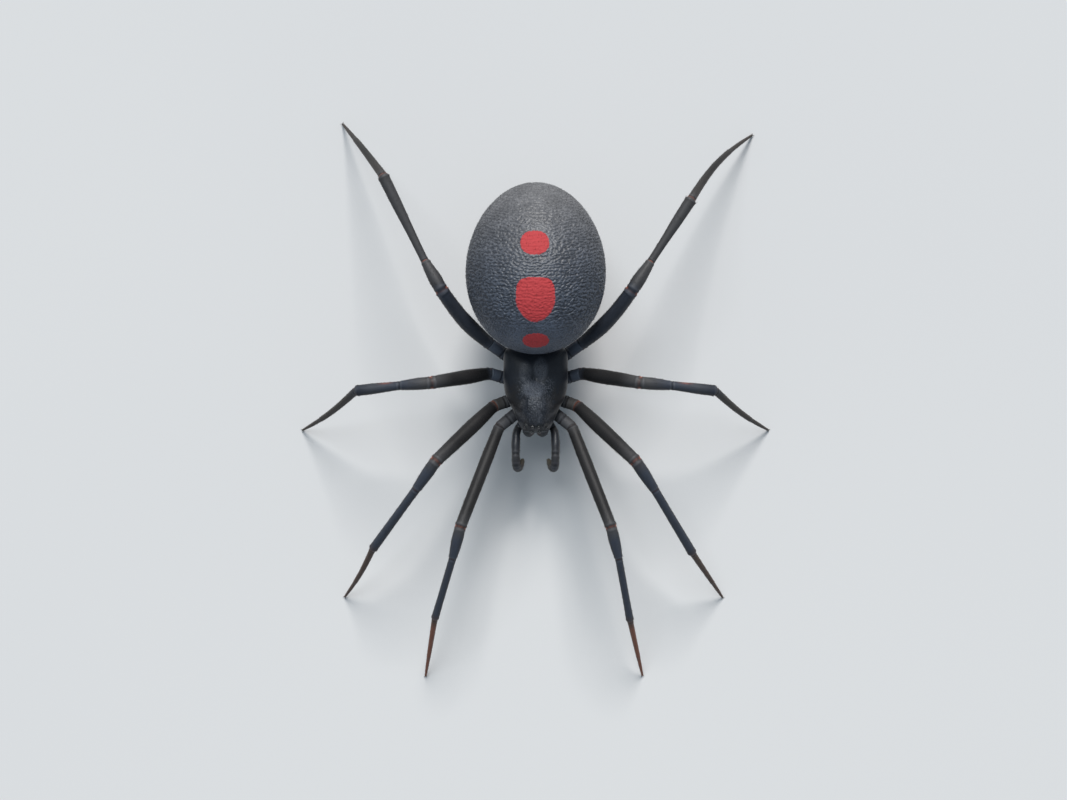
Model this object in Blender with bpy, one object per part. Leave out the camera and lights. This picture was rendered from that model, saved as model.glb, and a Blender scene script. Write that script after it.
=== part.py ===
"""Black widow spider: an adult female standing on eight feet, life size and still.

The head points to -Y, the spider's own left is +X and up is +Z. The origin is on the floor
under the middle of the leg span. Sizes are in millimetres and angles in degrees; each mesh is
turned into metres when it is finished.
"""

import math
from collections import namedtuple

import bmesh
import bpy
from mathutils import Matrix, Vector
from mathutils.bvhtree import BVHTree

MM = 0.001
UP = Vector((0, 0, 1))
REAR = Vector((0, 1, 0))
GAP = 0.1  # left between pieces that meet
SIDES = {"left": 1, "right": -1}

# Front part of the body
CARAPACE_FRONT = -1.56
CARAPACE_REAR = 2.78
CARAPACE_UNDERSIDE = 3.55
CARAPACE_RIM = 0.1
RIM_INSET = 0.06  # how much narrower the underside is than the rim, as a share
CARAPACE_ROWS = 22
CARAPACE_COLUMNS = 25
# Curves along the body: place from front to rear, then the size there
HALF_WIDTH = (
    (-1.56, 0.62), (-1.12, 0.86), (-0.49, 1.14), (0.1, 1.45),
    (0.7, 1.58), (1.5, 1.6), (2.3, 1.57), (2.6, 1.36), (2.78, 0.98),
)
THORAX_HEIGHT = (
    (-1.56, 0.45), (-1.1, 0.62), (-0.5, 0.7), (0.3, 0.76),
    (1.6, 0.76), (2.1, 0.68), (2.5, 0.5), (2.78, 0.3),
)
HEAD_HEIGHT = (
    (-1.56, 0.16), (-1.4, 0.32), (-1.1, 0.42), (-0.6, 0.46),
    (0.0, 0.38), (0.5, 0.16), (0.9, 0.0), (2.78, 0.0),
)
HEAD_HALF_WIDTH = ((-1.56, 0.5), (-0.6, 0.72), (0.0, 0.62), (0.9, 0.3), (2.78, 0.3))
PIT_PLACE = 1.05
PIT_DEPTH = 0.14
PIT_HALF_WIDTH = 0.3
STERNUM_TOP = CARAPACE_UNDERSIDE - GAP
# The sternum from its top down: size of each slice against its outline, and height
STERNUM_SLICES = ((1, STERNUM_TOP), (1, 2.52), (0.8, 2.44), (0.35, 2.38))
LABIUM_FRONT = -0.98
LABIUM_HALF_WIDTH = 0.18
STERNUM_REAR = 2.2

# Eyes: turn from straight ahead, rise and radius, seen from inside the head
EYE_VIEWPOINT = Vector((0, -0.85, 4.05))
EYES = {
    "anterior_median": (15, 14, 0.1),
    "anterior_lateral": (46, 12, 0.09),
    "posterior_median": (18, 45, 0.1),
    "posterior_lateral": (52, 36, 0.09),
}
EYE_SINK = 0.03
SOCKET_GAP = 0.04

# Mouthparts and palps, on the spider's left side: centre and radius along each
CHELICERA = (
    ((0.36, -1.24, 3.4), 0.28),
    ((0.38, -1.36, 3.2), 0.32),
    ((0.38, -1.53, 2.85), 0.32),
    ((0.35, -1.63, 2.5), 0.27),
    ((0.32, -1.68, 2.25), 0.2),
)
FANG = (
    ((0.31, -1.7, 2.15), 0.11),
    ((0.3, -1.72, 2.0), 0.1),
    ((0.26, -1.7, 1.86), 0.08),
    ((0.19, -1.64, 1.77), 0.055),
    ((0.1, -1.56, 1.74), 0.025),
)
PALP = (
    ((0.44, -0.87, 2.8), 0.17),
    ((0.72, -1.2, 2.74), 0.22),
    ((0.9, -1.45, 2.86), 0.2),
    ((0.97, -1.72, 3.04), 0.22),
    ((0.99, -2.2, 3.24), 0.23),
    ((0.99, -2.65, 3.3), 0.21),
    ((0.98, -2.88, 3.28), 0.22),
    ((0.97, -3.15, 3.2), 0.22),
    ((0.93, -3.4, 2.98), 0.23),
    ((0.83, -3.4, 2.66), 0.22),
    ((0.72, -3.2, 2.4), 0.18),
    ((0.63, -2.98, 2.22), 0.11),
)
MOUTH_SIDES = 14

# Abdomen: an egg whose front end is raised
ABDOMEN_CENTRE = Vector((0, 6.37, 5.19))
ABDOMEN_HALF_SIZE = Vector((3.34, 4.42, 2.92))
ABDOMEN_TILT = 23
ABDOMEN_TAPER = 0.065
ABDOMEN_SEGMENTS = 40
ABDOMEN_RINGS = 24
PEDICEL_RADIUS = 0.22
PEDICEL_START = 3.66
SPINNERET_PLACE = Vector((0, 0.96, -0.28))
SPINNERET_BASE = (0.42, 0.2)
SPINNERET_LEAN = 0.2
# Spinnerets: side offset, offset towards the back, length and radius at the root
SPINNERETS = ((0.19, 0.17, 0.5, 0.15), (0.19, -0.19, 0.52, 0.17), (0.08, 0.0, 0.34, 0.08))

# A leg piece: length, heading (0 straight out to the side, + to the rear), rise, sideways bow
# towards the rear, and widths at its near end, its thirds and its far end
Piece = namedtuple("Piece", "length heading rise bow widths")
# A leg: where it leaves the sternum, where coxa and trochanter end, then its pieces; the last
# one has no rise of its own, since it always reaches down to the floor
Leg = namedtuple("Leg", "number sides root hip pieces")
PIECE_NAMES = ("femur", "patella", "tibia", "metatarsus")
LEGS = (
    Leg(1, ("left",), (0.8, -0.52), (1.82, -1.34), (
        Piece(5.4, -69.4, 22.6, 0.0, (0.52, 0.62, 0.6, 0.56)),
        Piece(1.67, -75.7, -15.4, 0.0, (0.56, 0.58, 0.52, 0.46)),
        Piece(3.75, -78.2, -24.4, 0.0, (0.46, 0.48, 0.48, 0.46)),
        Piece(5.13, -74.9, None, 0.0, (0.44, 0.4, 0.32, 0.2)),
    )),
    Leg(1, ("right",), (0.8, -0.52), (1.82, -1.34), (
        Piece(5.4, -69.4, 22.6, 0.0, (0.52, 0.62, 0.6, 0.56)),
        Piece(1.67, -75.7, -15.4, 0.0, (0.56, 0.58, 0.52, 0.46)),
        Piece(3.75, -72.6, -24.4, 0.0, (0.46, 0.48, 0.48, 0.46)),
        Piece(5.18, -77.7, None, 0.0, (0.44, 0.4, 0.32, 0.2)),
    )),
    Leg(2, ("left",), (0.98, 0.1), (2.08, -0.29), (
        Piece(4.55, -44.6, 36.8, 0.0, (0.56, 0.72, 0.68, 0.6)),
        Piece(1.72, -55.9, -14.5, 0.0, (0.6, 0.6, 0.52, 0.46)),
        Piece(4.32, -57.6, -25.2, 0.0, (0.46, 0.48, 0.48, 0.46)),
        Piece(5.28, -53.0, None, 0.0, (0.44, 0.4, 0.32, 0.2)),
    )),
    Leg(2, ("right",), (0.98, 0.1), (2.08, -0.29), (
        Piece(4.55, -44.6, 36.8, 0.0, (0.56, 0.72, 0.68, 0.6)),
        Piece(1.72, -54.6, -14.5, 0.0, (0.6, 0.6, 0.52, 0.46)),
        Piece(4.32, -52.8, -25.2, 0.0, (0.46, 0.48, 0.48, 0.46)),
        Piece(5.34, -56.0, None, -0.09, (0.44, 0.4, 0.32, 0.2)),
    )),
    Leg(3, ("left", "right"), (0.98, 0.94), (2.3, 1.33), (
        Piece(3.61, -11.2, 42.5, 0.0, (0.56, 0.72, 0.68, 0.6)),
        Piece(1.54, -4.8, -11.9, 0.0, (0.6, 0.6, 0.54, 0.46)),
        Piece(2.26, -6.2, -12.0, 0.0, (0.46, 0.5, 0.56, 0.54)),
        Piece(6.56, -28.8, None, -0.13, (0.48, 0.43, 0.34, 0.2)),
    )),
    Leg(4, ("left",), (0.72, 1.72), (2.3, 2.8), (
        Piece(4.22, 46.6, 41.2, -0.16, (0.58, 0.74, 0.7, 0.64)),
        Piece(1.68, 56.6, -8.5, 0.0, (0.64, 0.66, 0.56, 0.46)),
        Piece(3.45, 57.1, 4.8, 0.0, (0.46, 0.5, 0.6, 0.58)),
        Piece(8.8, 47.8, None, 0.3, (0.48, 0.42, 0.34, 0.2)),
    )),
    Leg(4, ("right",), (0.72, 1.72), (2.3, 2.8), (
        Piece(4.18, 48.0, 41.2, -0.16, (0.58, 0.74, 0.7, 0.64)),
        Piece(1.63, 60.0, -8.4, 0.0, (0.64, 0.66, 0.56, 0.46)),
        Piece(4.39, 64.1, 4.8, 0.0, (0.46, 0.5, 0.6, 0.58)),
        Piece(8.1, 53.3, None, 0.03, (0.48, 0.42, 0.34, 0.2)),
    )),
)
ROOT_HEIGHT = 2.85
HIP_HEIGHT = 3.35
COXA_WIDTHS = (0.52, 0.64, 0.62, 0.56)
LEG_SIDES = 12
COLLAR = 0.25

# Colour, roughness and metallic value of each finish
FINISHES = {
    "carapace": ((0.022, 0.026, 0.034), 0.42, 0.0),
    "abdomen": ((0.11, 0.12, 0.145), 0.38, 0.0),
    "mouthparts": ((0.03, 0.027, 0.026), 0.4, 0.0),
    "fang": ((0.05, 0.018, 0.01), 0.25, 0.0),
    "eye": ((0.012, 0.012, 0.014), 0.08, 0.0),
    "upper_leg": ((0.032, 0.034, 0.04), 0.4, 0.0),
    "lower_leg": ((0.05, 0.055, 0.066), 0.42, 0.0),
    "rusty_foot": ((0.2, 0.07, 0.03), 0.5, 0.0),
    "dark_foot": ((0.075, 0.06, 0.05), 0.5, 0.0),
}


def clear_scene():
    for old in list(bpy.data.objects):
        bpy.data.objects.remove(old, do_unlink=True)


def finish_material(finish):
    """The material of a finish, made once and then shared."""
    material = bpy.data.materials.get(finish)
    if material:
        return material
    colour, roughness, metallic = FINISHES[finish]
    material = bpy.data.materials.new(finish)
    material.use_nodes = True
    shader = material.node_tree.nodes["Principled BSDF"]
    shader.inputs["Base Color"].default_value = (*colour, 1)
    shader.inputs["Roughness"].default_value = roughness
    shader.inputs["Metallic"].default_value = metallic
    return material


def add_piece(name, bm, finish):
    """Turn a bmesh in millimetres into a named object in metres."""
    bmesh.ops.recalc_face_normals(bm, faces=bm.faces)
    bmesh.ops.scale(bm, vec=(MM, MM, MM), verts=bm.verts)
    mesh = bpy.data.meshes.new(name)
    bm.to_mesh(mesh)
    bm.free()
    mesh.shade_smooth()
    mesh.set_sharp_from_angle(angle=math.radians(40))
    mesh.materials.append(finish_material(finish))
    piece = bpy.data.objects.new(name, mesh)
    bpy.context.scene.collection.objects.link(piece)
    return piece


def surface_of(bm):
    """A searchable copy of a closed surface, its normals facing out."""
    bmesh.ops.recalc_face_normals(bm, faces=bm.faces)
    return BVHTree.FromBMesh(bm)


def smooth_value(points, at):
    """Height at one place of a smooth curve through (place, height) points."""
    last = len(points) - 1
    at = min(max(at, points[0][0]), points[-1][0])
    i = next(k for k in range(last) if at <= points[k + 1][0])

    def slope(k):
        before, after = points[max(k - 1, 0)], points[min(k + 1, last)]
        return (after[1] - before[1]) / (after[0] - before[0])

    (x0, y0), (x1, y1) = points[i], points[i + 1]
    step = x1 - x0
    t = (at - x0) / step
    rise = (3 - 2 * t) * t * t
    near = t * (1 - t) ** 2 * step * slope(i)
    far = t * t * (t - 1) * step * slope(i + 1)
    return y0 + (y1 - y0) * rise + near + far


def mirrored(point, side):
    """A point given on the spider's left, moved to the side wanted."""
    return Vector((point[0] * SIDES[side], point[1], point[2]))


def slide_to_plane(ring, along, point, normal):
    """Slide a ring's corners along a direction until they lie on a plane."""
    for corner in ring:
        corner.co += along * ((point - corner.co).dot(normal) / along.dot(normal))


def close_rings(bm, rings):
    """Skin a run of rings of corners and close both ends."""
    count = len(rings[0])
    for near, far in zip(rings, rings[1:]):
        for k in range(count):
            after = (k + 1) % count
            bm.faces.new((near[k], near[after], far[after], far[k]))
    bm.faces.new(rings[0])
    bm.faces.new(rings[-1])


def tube(stations, corners, start_plane=None, end_plane=None):
    """A closed round loft through (centre, radius) stations, its ends cut by planes if given."""
    bm = bmesh.new()
    centres = [Vector(centre) for centre, _ in stations]
    last = len(centres) - 1
    tangents = [
        (centres[min(k + 1, last)] - centres[max(k - 1, 0)]).normalized() for k in range(last + 1)
    ]
    turn = tangents[0].to_track_quat("Z", "Y")
    rings = []
    for k, (centre, tangent) in enumerate(zip(centres, tangents)):
        turn = tangents[max(k - 1, 0)].rotation_difference(tangent) @ turn
        place = Matrix.Translation(centre) @ turn.to_matrix().to_4x4()
        circle = bmesh.ops.create_circle(bm, segments=corners, radius=stations[k][1], matrix=place)
        rings.append(circle["verts"])
    if start_plane:
        slide_to_plane(rings[0], tangents[0], *start_plane)
    if end_plane:
        slide_to_plane(rings[-1], tangents[-1], *end_plane)
    close_rings(bm, rings)
    return bm


def carapace_height(x, y):
    """Height of the carapace's back: a low dome with the head raised on it and a pit behind."""
    across = min(abs(x) / smooth_value(HALF_WIDTH, y), 1)
    thorax = smooth_value(THORAX_HEIGHT, y) * math.sqrt(1 - across**2.5)
    head = smooth_value(HEAD_HEIGHT, y) * math.exp(-((x / smooth_value(HEAD_HALF_WIDTH, y)) ** 4))
    pit = PIT_DEPTH * math.exp(-(x**2 + (y - PIT_PLACE) ** 2) / PIT_HALF_WIDTH**2)
    fade = min(1, 6 * (1 - across))
    return CARAPACE_UNDERSIDE + CARAPACE_RIM + thorax + (head - pit) * fade


def carapace_shape():
    """The carapace as D-shaped slices from the clypeus back, with a flat underside."""
    bm = bmesh.new()
    rings = []
    for row in range(CARAPACE_ROWS + 1):
        part_way = (1 - math.cos(math.pi * row / CARAPACE_ROWS)) / 2
        y = CARAPACE_FRONT + (CARAPACE_REAR - CARAPACE_FRONT) * part_way
        half_width = smooth_value(HALF_WIDTH, y)
        outline = []
        for column in range(CARAPACE_COLUMNS):
            x = half_width * math.cos(math.pi * column / (CARAPACE_COLUMNS - 1))
            outline.append((x, y, carapace_height(x, y)))
        for x in ((RIM_INSET - 1) * half_width, 0, (1 - RIM_INSET) * half_width):
            outline.append((x, y, CARAPACE_UNDERSIDE))
        rings.append([bm.verts.new(corner) for corner in outline])
    close_rings(bm, rings)
    return bm


def socket_cutter(name, centre, radius):
    """A ball that hollows an eye's socket out of the carapace."""
    bm = bmesh.new()
    place = Matrix.Translation(centre)
    bmesh.ops.create_uvsphere(bm, u_segments=12, v_segments=8, radius=radius + SOCKET_GAP, matrix=place)
    cutter = add_piece(name, bm, "carapace")
    cutter.hide_render = True
    cutter.display_type = "WIRE"
    return cutter


def build_carapace_and_eyes():
    """The carapace, and eight eyes each seated in its own socket."""
    bm = carapace_shape()
    surface = surface_of(bm)
    carapace = add_piece("carapace", bm, "carapace")
    cutters = bpy.data.collections.new("socket_cutters")
    bpy.context.scene.collection.children.link(cutters)
    for eye_name, (turn, rise, radius) in EYES.items():
        for side in SIDES:
            gaze = mirrored(direction(turn - 90, rise), side)
            spot, normal, _, _ = surface.ray_cast(EYE_VIEWPOINT, gaze)
            centre = spot - normal * EYE_SINK
            eye = bmesh.new()
            bmesh.ops.create_uvsphere(
                eye, u_segments=12, v_segments=8, radius=radius, matrix=Matrix.Translation(centre)
            )
            add_piece(f"eye_{eye_name}_{side}", eye, "eye")
            cutter = socket_cutter(f"socket_{eye_name}_{side}", centre, radius)
            cutters.objects.link(cutter)
            bpy.context.scene.collection.objects.unlink(cutter)
    sockets = carapace.modifiers.new("sockets", "BOOLEAN")
    sockets.operation = "DIFFERENCE"
    sockets.operand_type = "COLLECTION"
    sockets.collection = cutters


def direction(heading, rise):
    """Unit vector on the spider's left, turned from straight out and raised."""
    turn, lift = math.radians(heading), math.radians(rise)
    return Vector((math.cos(turn) * math.cos(lift), math.sin(turn) * math.cos(lift), math.sin(lift)))


def facing_edge(root, away, half_width):
    """The two corners of the sternum's flat that faces a coxa or palp, front corner first."""
    across = Vector((-away.y, away.x))
    centre = Vector(root) - GAP * away
    return centre - half_width * across, centre + half_width * across


def build_sternum():
    """Breastplate and body core, with a flat side facing each coxa and palp."""
    roots = [(PALP[0][0][:2], Vector(PALP[1][0][:2]), 0.9 * PALP[0][1])]
    for leg in LEGS:
        if "left" in leg.sides:
            roots.append((leg.root, Vector(leg.hip), 0.5 * COXA_WIDTHS[0]))
    half = [Vector((0, LABIUM_FRONT)), Vector((LABIUM_HALF_WIDTH, LABIUM_FRONT))]
    for root, outer, half_width in roots:
        half.extend(facing_edge(root, (outer - Vector(root)).normalized(), half_width))
    half.append(Vector((0, STERNUM_REAR)))
    outline = half + [Vector((-corner.x, corner.y)) for corner in half[-2:0:-1]]
    middle = Vector((0, (LABIUM_FRONT + STERNUM_REAR) / 2))
    bm = bmesh.new()
    rings = []
    for size, height in STERNUM_SLICES:
        corners = [middle + size * (corner - middle) for corner in outline]
        rings.append([bm.verts.new((*corner, height)) for corner in corners])
    close_rings(bm, rings)
    add_piece("sternum", bm, "carapace")


def abdomen_point(unit):
    """A point of the abdomen's skin from one on a unit ball, before the abdomen is tilted."""
    taper = 1 - ABDOMEN_TAPER * unit.y
    return Vector((unit.x * taper, unit.y, unit.z * taper)) * ABDOMEN_HALF_SIZE


def abdomen_place():
    return Matrix.Translation(ABDOMEN_CENTRE) @ Matrix.Rotation(math.radians(-ABDOMEN_TILT), 4, "X")


def abdomen_shape():
    bm = bmesh.new()
    turn = Matrix.Rotation(math.radians(90), 4, "X")
    bmesh.ops.create_uvsphere(
        bm, u_segments=ABDOMEN_SEGMENTS, v_segments=ABDOMEN_RINGS, radius=1, matrix=turn
    )
    for corner in bm.verts:
        corner.co = abdomen_place() @ abdomen_point(corner.co)
    return bm


def build_abdomen():
    """The abdomen, the waist that carries it and the spinnerets under its rear end."""
    bm = abdomen_shape()
    surface = surface_of(bm)
    add_piece("abdomen", bm, "abdomen")
    start = Vector((0, CARAPACE_REAR + GAP, PEDICEL_START))
    end, normal, _, _ = surface.ray_cast(start, REAR)
    end += normal * GAP
    waist = [(start, PEDICEL_RADIUS), (end, PEDICEL_RADIUS)]
    bm = tube(waist, LEG_SIDES, (start, REAR), (end, normal))
    add_piece("pedicel", bm, "carapace")
    build_spinnerets(surface)


def build_spinnerets(surface):
    """A short turret of six cones, set on the abdomen's skin behind and below."""
    outward = (abdomen_place().to_3x3() @ SPINNERET_PLACE).normalized()
    spot, normal, _, _ = surface.ray_cast(ABDOMEN_CENTRE, outward)
    root = spot + normal * GAP
    side = Vector((1, 0, 0))
    back = normal.cross(side)
    radius, height = SPINNERET_BASE
    base = [(root, radius), (root + normal * height * 0.6, radius), (root + normal * height, 0.8 * radius)]
    shapes = [add_piece("spinnerets", tube(base, 16, (root, normal)), "mouthparts")]
    for out, rearward, length, thickness in SPINNERETS:
        for sign in SIDES.values():
            offset = side * out * sign + back * rearward
            foot = root + offset + normal * 0.5 * height
            lean = (normal - SPINNERET_LEAN * offset).normalized()
            cone = [
                (foot, thickness),
                (foot + lean * 0.55 * length, 0.85 * thickness),
                (foot + lean * length, 0.4 * thickness),
            ]
            shapes.append(add_piece("cone", tube(cone, 10), "mouthparts"))
    join(shapes)


def join(shapes):
    """Fuse shapes into the first one, by one union, and drop the others."""
    whole, *others = shapes
    group = bpy.data.collections.new("joined")
    for other in others:
        group.objects.link(other)
    union = whole.modifiers.new("union", "BOOLEAN")
    union.operation = "UNION"
    union.operand_type = "COLLECTION"
    union.collection = group
    bpy.context.view_layer.update()
    evaluated = whole.evaluated_get(bpy.context.evaluated_depsgraph_get())
    fused = bpy.data.meshes.new_from_object(evaluated)
    whole.modifiers.clear()
    whole.data = fused
    for other in others:
        bpy.data.objects.remove(other, do_unlink=True)
    bpy.data.collections.remove(group)


def build_mouthparts():
    for side in SIDES:
        for name, stations, corners, finish in (
            ("chelicera", CHELICERA, MOUTH_SIDES, "mouthparts"),
            ("fang", FANG, 8, "fang"),
            ("palp", PALP, MOUTH_SIDES, "mouthparts"),
        ):
            placed = [(mirrored(centre, side), radius) for centre, radius in stations]
            top_plane = (Vector((0, 0, STERNUM_TOP)), UP) if name == "chelicera" else None
            add_piece(f"{name}_{side}", tube(placed, corners, top_plane), finish)


def leg_joints(leg):
    """Joints of a leg on the left, from the sternum out to its foot on the floor."""
    joints = [Vector((*leg.root, ROOT_HEIGHT)), Vector((*leg.hip, HIP_HEIGHT))]
    for piece in leg.pieces[:-1]:
        joints.append(joints[-1] + piece.length * direction(piece.heading, piece.rise))
    ankle, last = joints[-1], leg.pieces[-1]
    drop = -math.degrees(math.asin(ankle.z / last.length))
    joints.append(ankle + last.length * direction(last.heading, drop))
    return joints


def leg_stations(start, end, widths, bow):
    """Centres and radii along one leg piece, bowed sideways in the level plane."""
    length = (end - start).length
    along = (end - start) / length
    sideways = UP.cross(along).normalized()
    curve = tuple(zip((0, 1 / 3, 2 / 3, 1), widths))
    shares = [0, COLLAR / length, 0.3, 0.5, 0.7, 1 - COLLAR / length, 1]
    if length < 2:
        shares[2:5] = [0.5]
    return [
        (start + along * length * t + sideways * bow * math.sin(math.pi * t), smooth_value(curve, t) / 2)
        for t in shares
    ]


def build_leg(leg, side):
    """One leg in five pieces whose ends face one another across the bends."""
    joints = [mirrored(joint, side) for joint in leg_joints(leg)]
    ways = [(far - near).normalized() for near, far in zip(joints, joints[1:])]
    outward = Vector((ways[0].x, ways[0].y, 0)).normalized()
    bends = [outward] + [(near + far).normalized() for near, far in zip(ways, ways[1:])] + [UP]
    widths = [COXA_WIDTHS] + [piece.widths for piece in leg.pieces]
    bows = [0] + [piece.bow * SIDES[side] for piece in leg.pieces]
    for k, name in enumerate(("coxa", *PIECE_NAMES)):
        near_gap = GAP / 2 if k else 0
        far_gap = GAP / 2 if name != "metatarsus" else 0
        start_plane = (joints[k] + bends[k] * near_gap, bends[k])
        end_plane = (joints[k + 1] - bends[k + 1] * far_gap, bends[k + 1])
        stations = leg_stations(joints[k], joints[k + 1], widths[k], bows[k])
        bm = tube(stations, LEG_SIDES, start_plane, end_plane)
        add_piece(f"leg{leg.number}_{side}_{name}", bm, leg_finish(leg, name))


def leg_finish(leg, name):
    if name == "metatarsus":
        return "rusty_foot" if leg.number < 3 else "dark_foot"
    return "lower_leg" if name == "tibia" else "upper_leg"


clear_scene()
build_carapace_and_eyes()
build_sternum()
build_abdomen()
build_mouthparts()
for leg in LEGS:
    for side in leg.sides:
        build_leg(leg, side)
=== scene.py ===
"""Looks of the black widow spider: skins, markings, bristles, eyes and claws over its solids.

The head points to -Y, the spider's own left is +X and up is +Z, as in the solids. Sizes are in
millimetres; each mesh is turned into metres when it is finished.
"""

import math

import bpy
import numpy as np
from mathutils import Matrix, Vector
from mathutils.bvhtree import BVHTree


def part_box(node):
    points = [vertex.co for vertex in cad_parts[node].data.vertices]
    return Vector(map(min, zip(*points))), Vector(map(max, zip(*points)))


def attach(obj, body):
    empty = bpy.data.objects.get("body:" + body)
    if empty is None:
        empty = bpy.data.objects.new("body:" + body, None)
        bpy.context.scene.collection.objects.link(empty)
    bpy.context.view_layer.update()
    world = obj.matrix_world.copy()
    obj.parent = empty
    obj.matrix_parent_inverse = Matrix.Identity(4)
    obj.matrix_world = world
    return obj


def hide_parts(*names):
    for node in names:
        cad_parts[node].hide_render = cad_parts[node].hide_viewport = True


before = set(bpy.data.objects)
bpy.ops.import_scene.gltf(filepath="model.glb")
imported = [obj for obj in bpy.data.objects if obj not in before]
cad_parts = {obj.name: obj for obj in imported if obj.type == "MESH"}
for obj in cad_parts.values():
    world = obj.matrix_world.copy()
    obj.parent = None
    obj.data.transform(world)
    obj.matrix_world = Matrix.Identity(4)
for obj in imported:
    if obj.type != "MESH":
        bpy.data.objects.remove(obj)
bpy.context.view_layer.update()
scene = bpy.context.scene

MM = 0.001
UP = (0.0, 0.0, 1.0)
SIDES = {"left": 1, "right": -1}
# First seed of each part's random draws
SEEDS = {"abdomen": 11, "carapace": 21, "mouthparts": 300, "spinnerets": 500, "legs": 1000}

# Colours in linear light
BLACK = (0.008, 0.009, 0.012)
COAL = (0.0095, 0.009, 0.0095)
CHARCOAL = (0.012, 0.0115, 0.012)
GREY = (0.044, 0.0435, 0.046)
DEEP_BLUE = (0.016, 0.02, 0.03)
SLATE = (0.028, 0.033, 0.045)
STEEL = (0.028, 0.034, 0.048)
# Pale blue-white painted as a highlight on the trochanters of the third legs
STEEL_HIGHLIGHT = (0.07, 0.084, 0.11)
HIDE = (0.068, 0.084, 0.116)
# The hide's rear colour, paler as a painted highlight
HIDE_REAR_HIGHLIGHT = (0.155, 0.155, 0.165)
# The hide's front colour, lighter and bluer as a painted bluish fill light
HIDE_FRONT_FILL_LIGHT = (0.088, 0.109, 0.152)
# Painted shade in the hide's creases
CREASE_SHADE = (0.014, 0.016, 0.022)
RED = (0.46, 0.036, 0.042)
# Painted shade in the creases of the red marks
RED_CREASE_SHADE = (0.34, 0.018, 0.024)
JOINT_RED = (0.42, 0.13, 0.08)
SALMON = (0.165, 0.056, 0.032)
BROWN = (0.036, 0.027, 0.023)
UMBER = (0.024, 0.021, 0.02)
PLATE_DARK = (0.009, 0.011, 0.016)
PLATE_LIGHT = (0.02, 0.025, 0.036)
# Colour of the painted highlights on the carapace
SHEEN_HIGHLIGHT = (0.17, 0.18, 0.21)
# Painted glints on the head's granules
GRANULE_GLINT_GREY = (0.2, 0.21, 0.24)
RIM_GREY = (0.13, 0.125, 0.125)
# Painted highlight on the tops of the lips beside each joint
LIP_HIGHLIGHT_GREY = (0.13, 0.135, 0.15)
HAIR = (0.02, 0.017, 0.016)


class Shell:
    """Corners, faces and their maps, before they become a piece."""

    def __init__(self, points, quads, triangles, uv, **values):
        self.points, self.quads, self.triangles = points, quads, triangles
        self.uv = uv
        self.values = values


def ring_shell(grid, **values):
    """A closed shell through rings of points, each end closed by a fan; u runs round, v along."""
    rows, columns = grid.shape[:2]
    points = np.concatenate([grid.reshape(-1, 3), grid[0].mean(0)[None], grid[-1].mean(0)[None]])
    index = np.arange(rows * columns).reshape(rows, columns)
    near, far = index[:-1], index[1:]
    quads = np.stack([near, np.roll(near, -1, 1), np.roll(far, -1, 1), far], -1).reshape(-1, 4)
    first, last = np.full(columns, rows * columns), np.full(columns, rows * columns + 1)
    fans = [
        np.stack([first, np.roll(index[0], -1), index[0]], -1),
        np.stack([last, index[-1], np.roll(index[-1], -1)], -1),
    ]
    u0, v0 = np.meshgrid(np.arange(columns) / columns, np.arange(rows - 1) / (rows - 1))
    u1, v1 = u0 + 1 / columns, v0 + 1 / (rows - 1)
    quad_uv = np.stack([u0, v0, u1, v0, u1, v1, u0, v1], -1).reshape(-1, 2)
    u, u_next = u0[0], u1[0]
    zero, one, middle = np.zeros(columns), np.ones(columns), (u + u_next) / 2
    fan_uv = np.concatenate([
        np.stack([middle, zero, u_next, zero, u, zero], -1).reshape(-1, 2),
        np.stack([middle, one, u, one, u_next, one], -1).reshape(-1, 2),
    ])
    full = {}
    for name, value in values.items():
        full[name] = np.concatenate([value.reshape(-1), [value[0].mean(), value[-1].mean()]])
    return Shell(points, quads, np.concatenate(fans), np.concatenate([quad_uv, fan_uv]), **full)


def merged(shells):
    """Several shells as one."""
    offsets = np.cumsum([0] + [len(shell.points) for shell in shells])
    quads = np.concatenate([shell.quads + offset for shell, offset in zip(shells, offsets)])
    triangles = np.concatenate([shell.triangles + offset for shell, offset in zip(shells, offsets)])
    cuts = [4 * len(shell.quads) for shell in shells]
    uv = [shell.uv[:cut] for shell, cut in zip(shells, cuts)]
    uv += [shell.uv[cut:] for shell, cut in zip(shells, cuts)]
    values = {
        name: np.concatenate([shell.values[name] for shell in shells]) for name in shells[0].values
    }
    points = np.concatenate([shell.points for shell in shells])
    return Shell(points, quads, triangles, np.concatenate(uv), **values)


def placed(name, data):
    """A mesh, light or camera as an object in the scene."""
    made = bpy.data.objects.new(name, data)
    scene.collection.objects.link(made)
    return made


def piece(name, shell, material, stands_for=(), uv_name="Skin"):
    """A shell as an object that rides with the body."""
    mesh = bpy.data.meshes.new(name)
    corners = np.concatenate([shell.quads.reshape(-1), shell.triangles.reshape(-1)])
    quads, triangles = len(shell.quads), len(shell.triangles)
    starts = np.concatenate([4 * np.arange(quads), 4 * quads + 3 * np.arange(triangles)])
    mesh.vertices.add(len(shell.points))
    mesh.vertices.foreach_set("co", (shell.points * MM).astype(np.float32).reshape(-1))
    mesh.loops.add(len(corners))
    mesh.loops.foreach_set("vertex_index", corners.astype(np.int32))
    mesh.polygons.add(quads + triangles)
    mesh.polygons.foreach_set("loop_start", starts.astype(np.int32))
    mesh.update(calc_edges=True)
    layer = mesh.uv_layers.new(name=uv_name)
    layer.data.foreach_set("uv", shell.uv.astype(np.float32).reshape(-1))
    for label, value in shell.values.items():
        attribute = mesh.attributes.new(label, "FLOAT", "POINT")
        attribute.data.foreach_set("value", value.astype(np.float32))
    mesh.shade_smooth()
    mesh.materials.append(material)
    made = placed(name, mesh)
    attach(made, "root")
    if stands_for:
        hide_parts(*stands_for)


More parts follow.
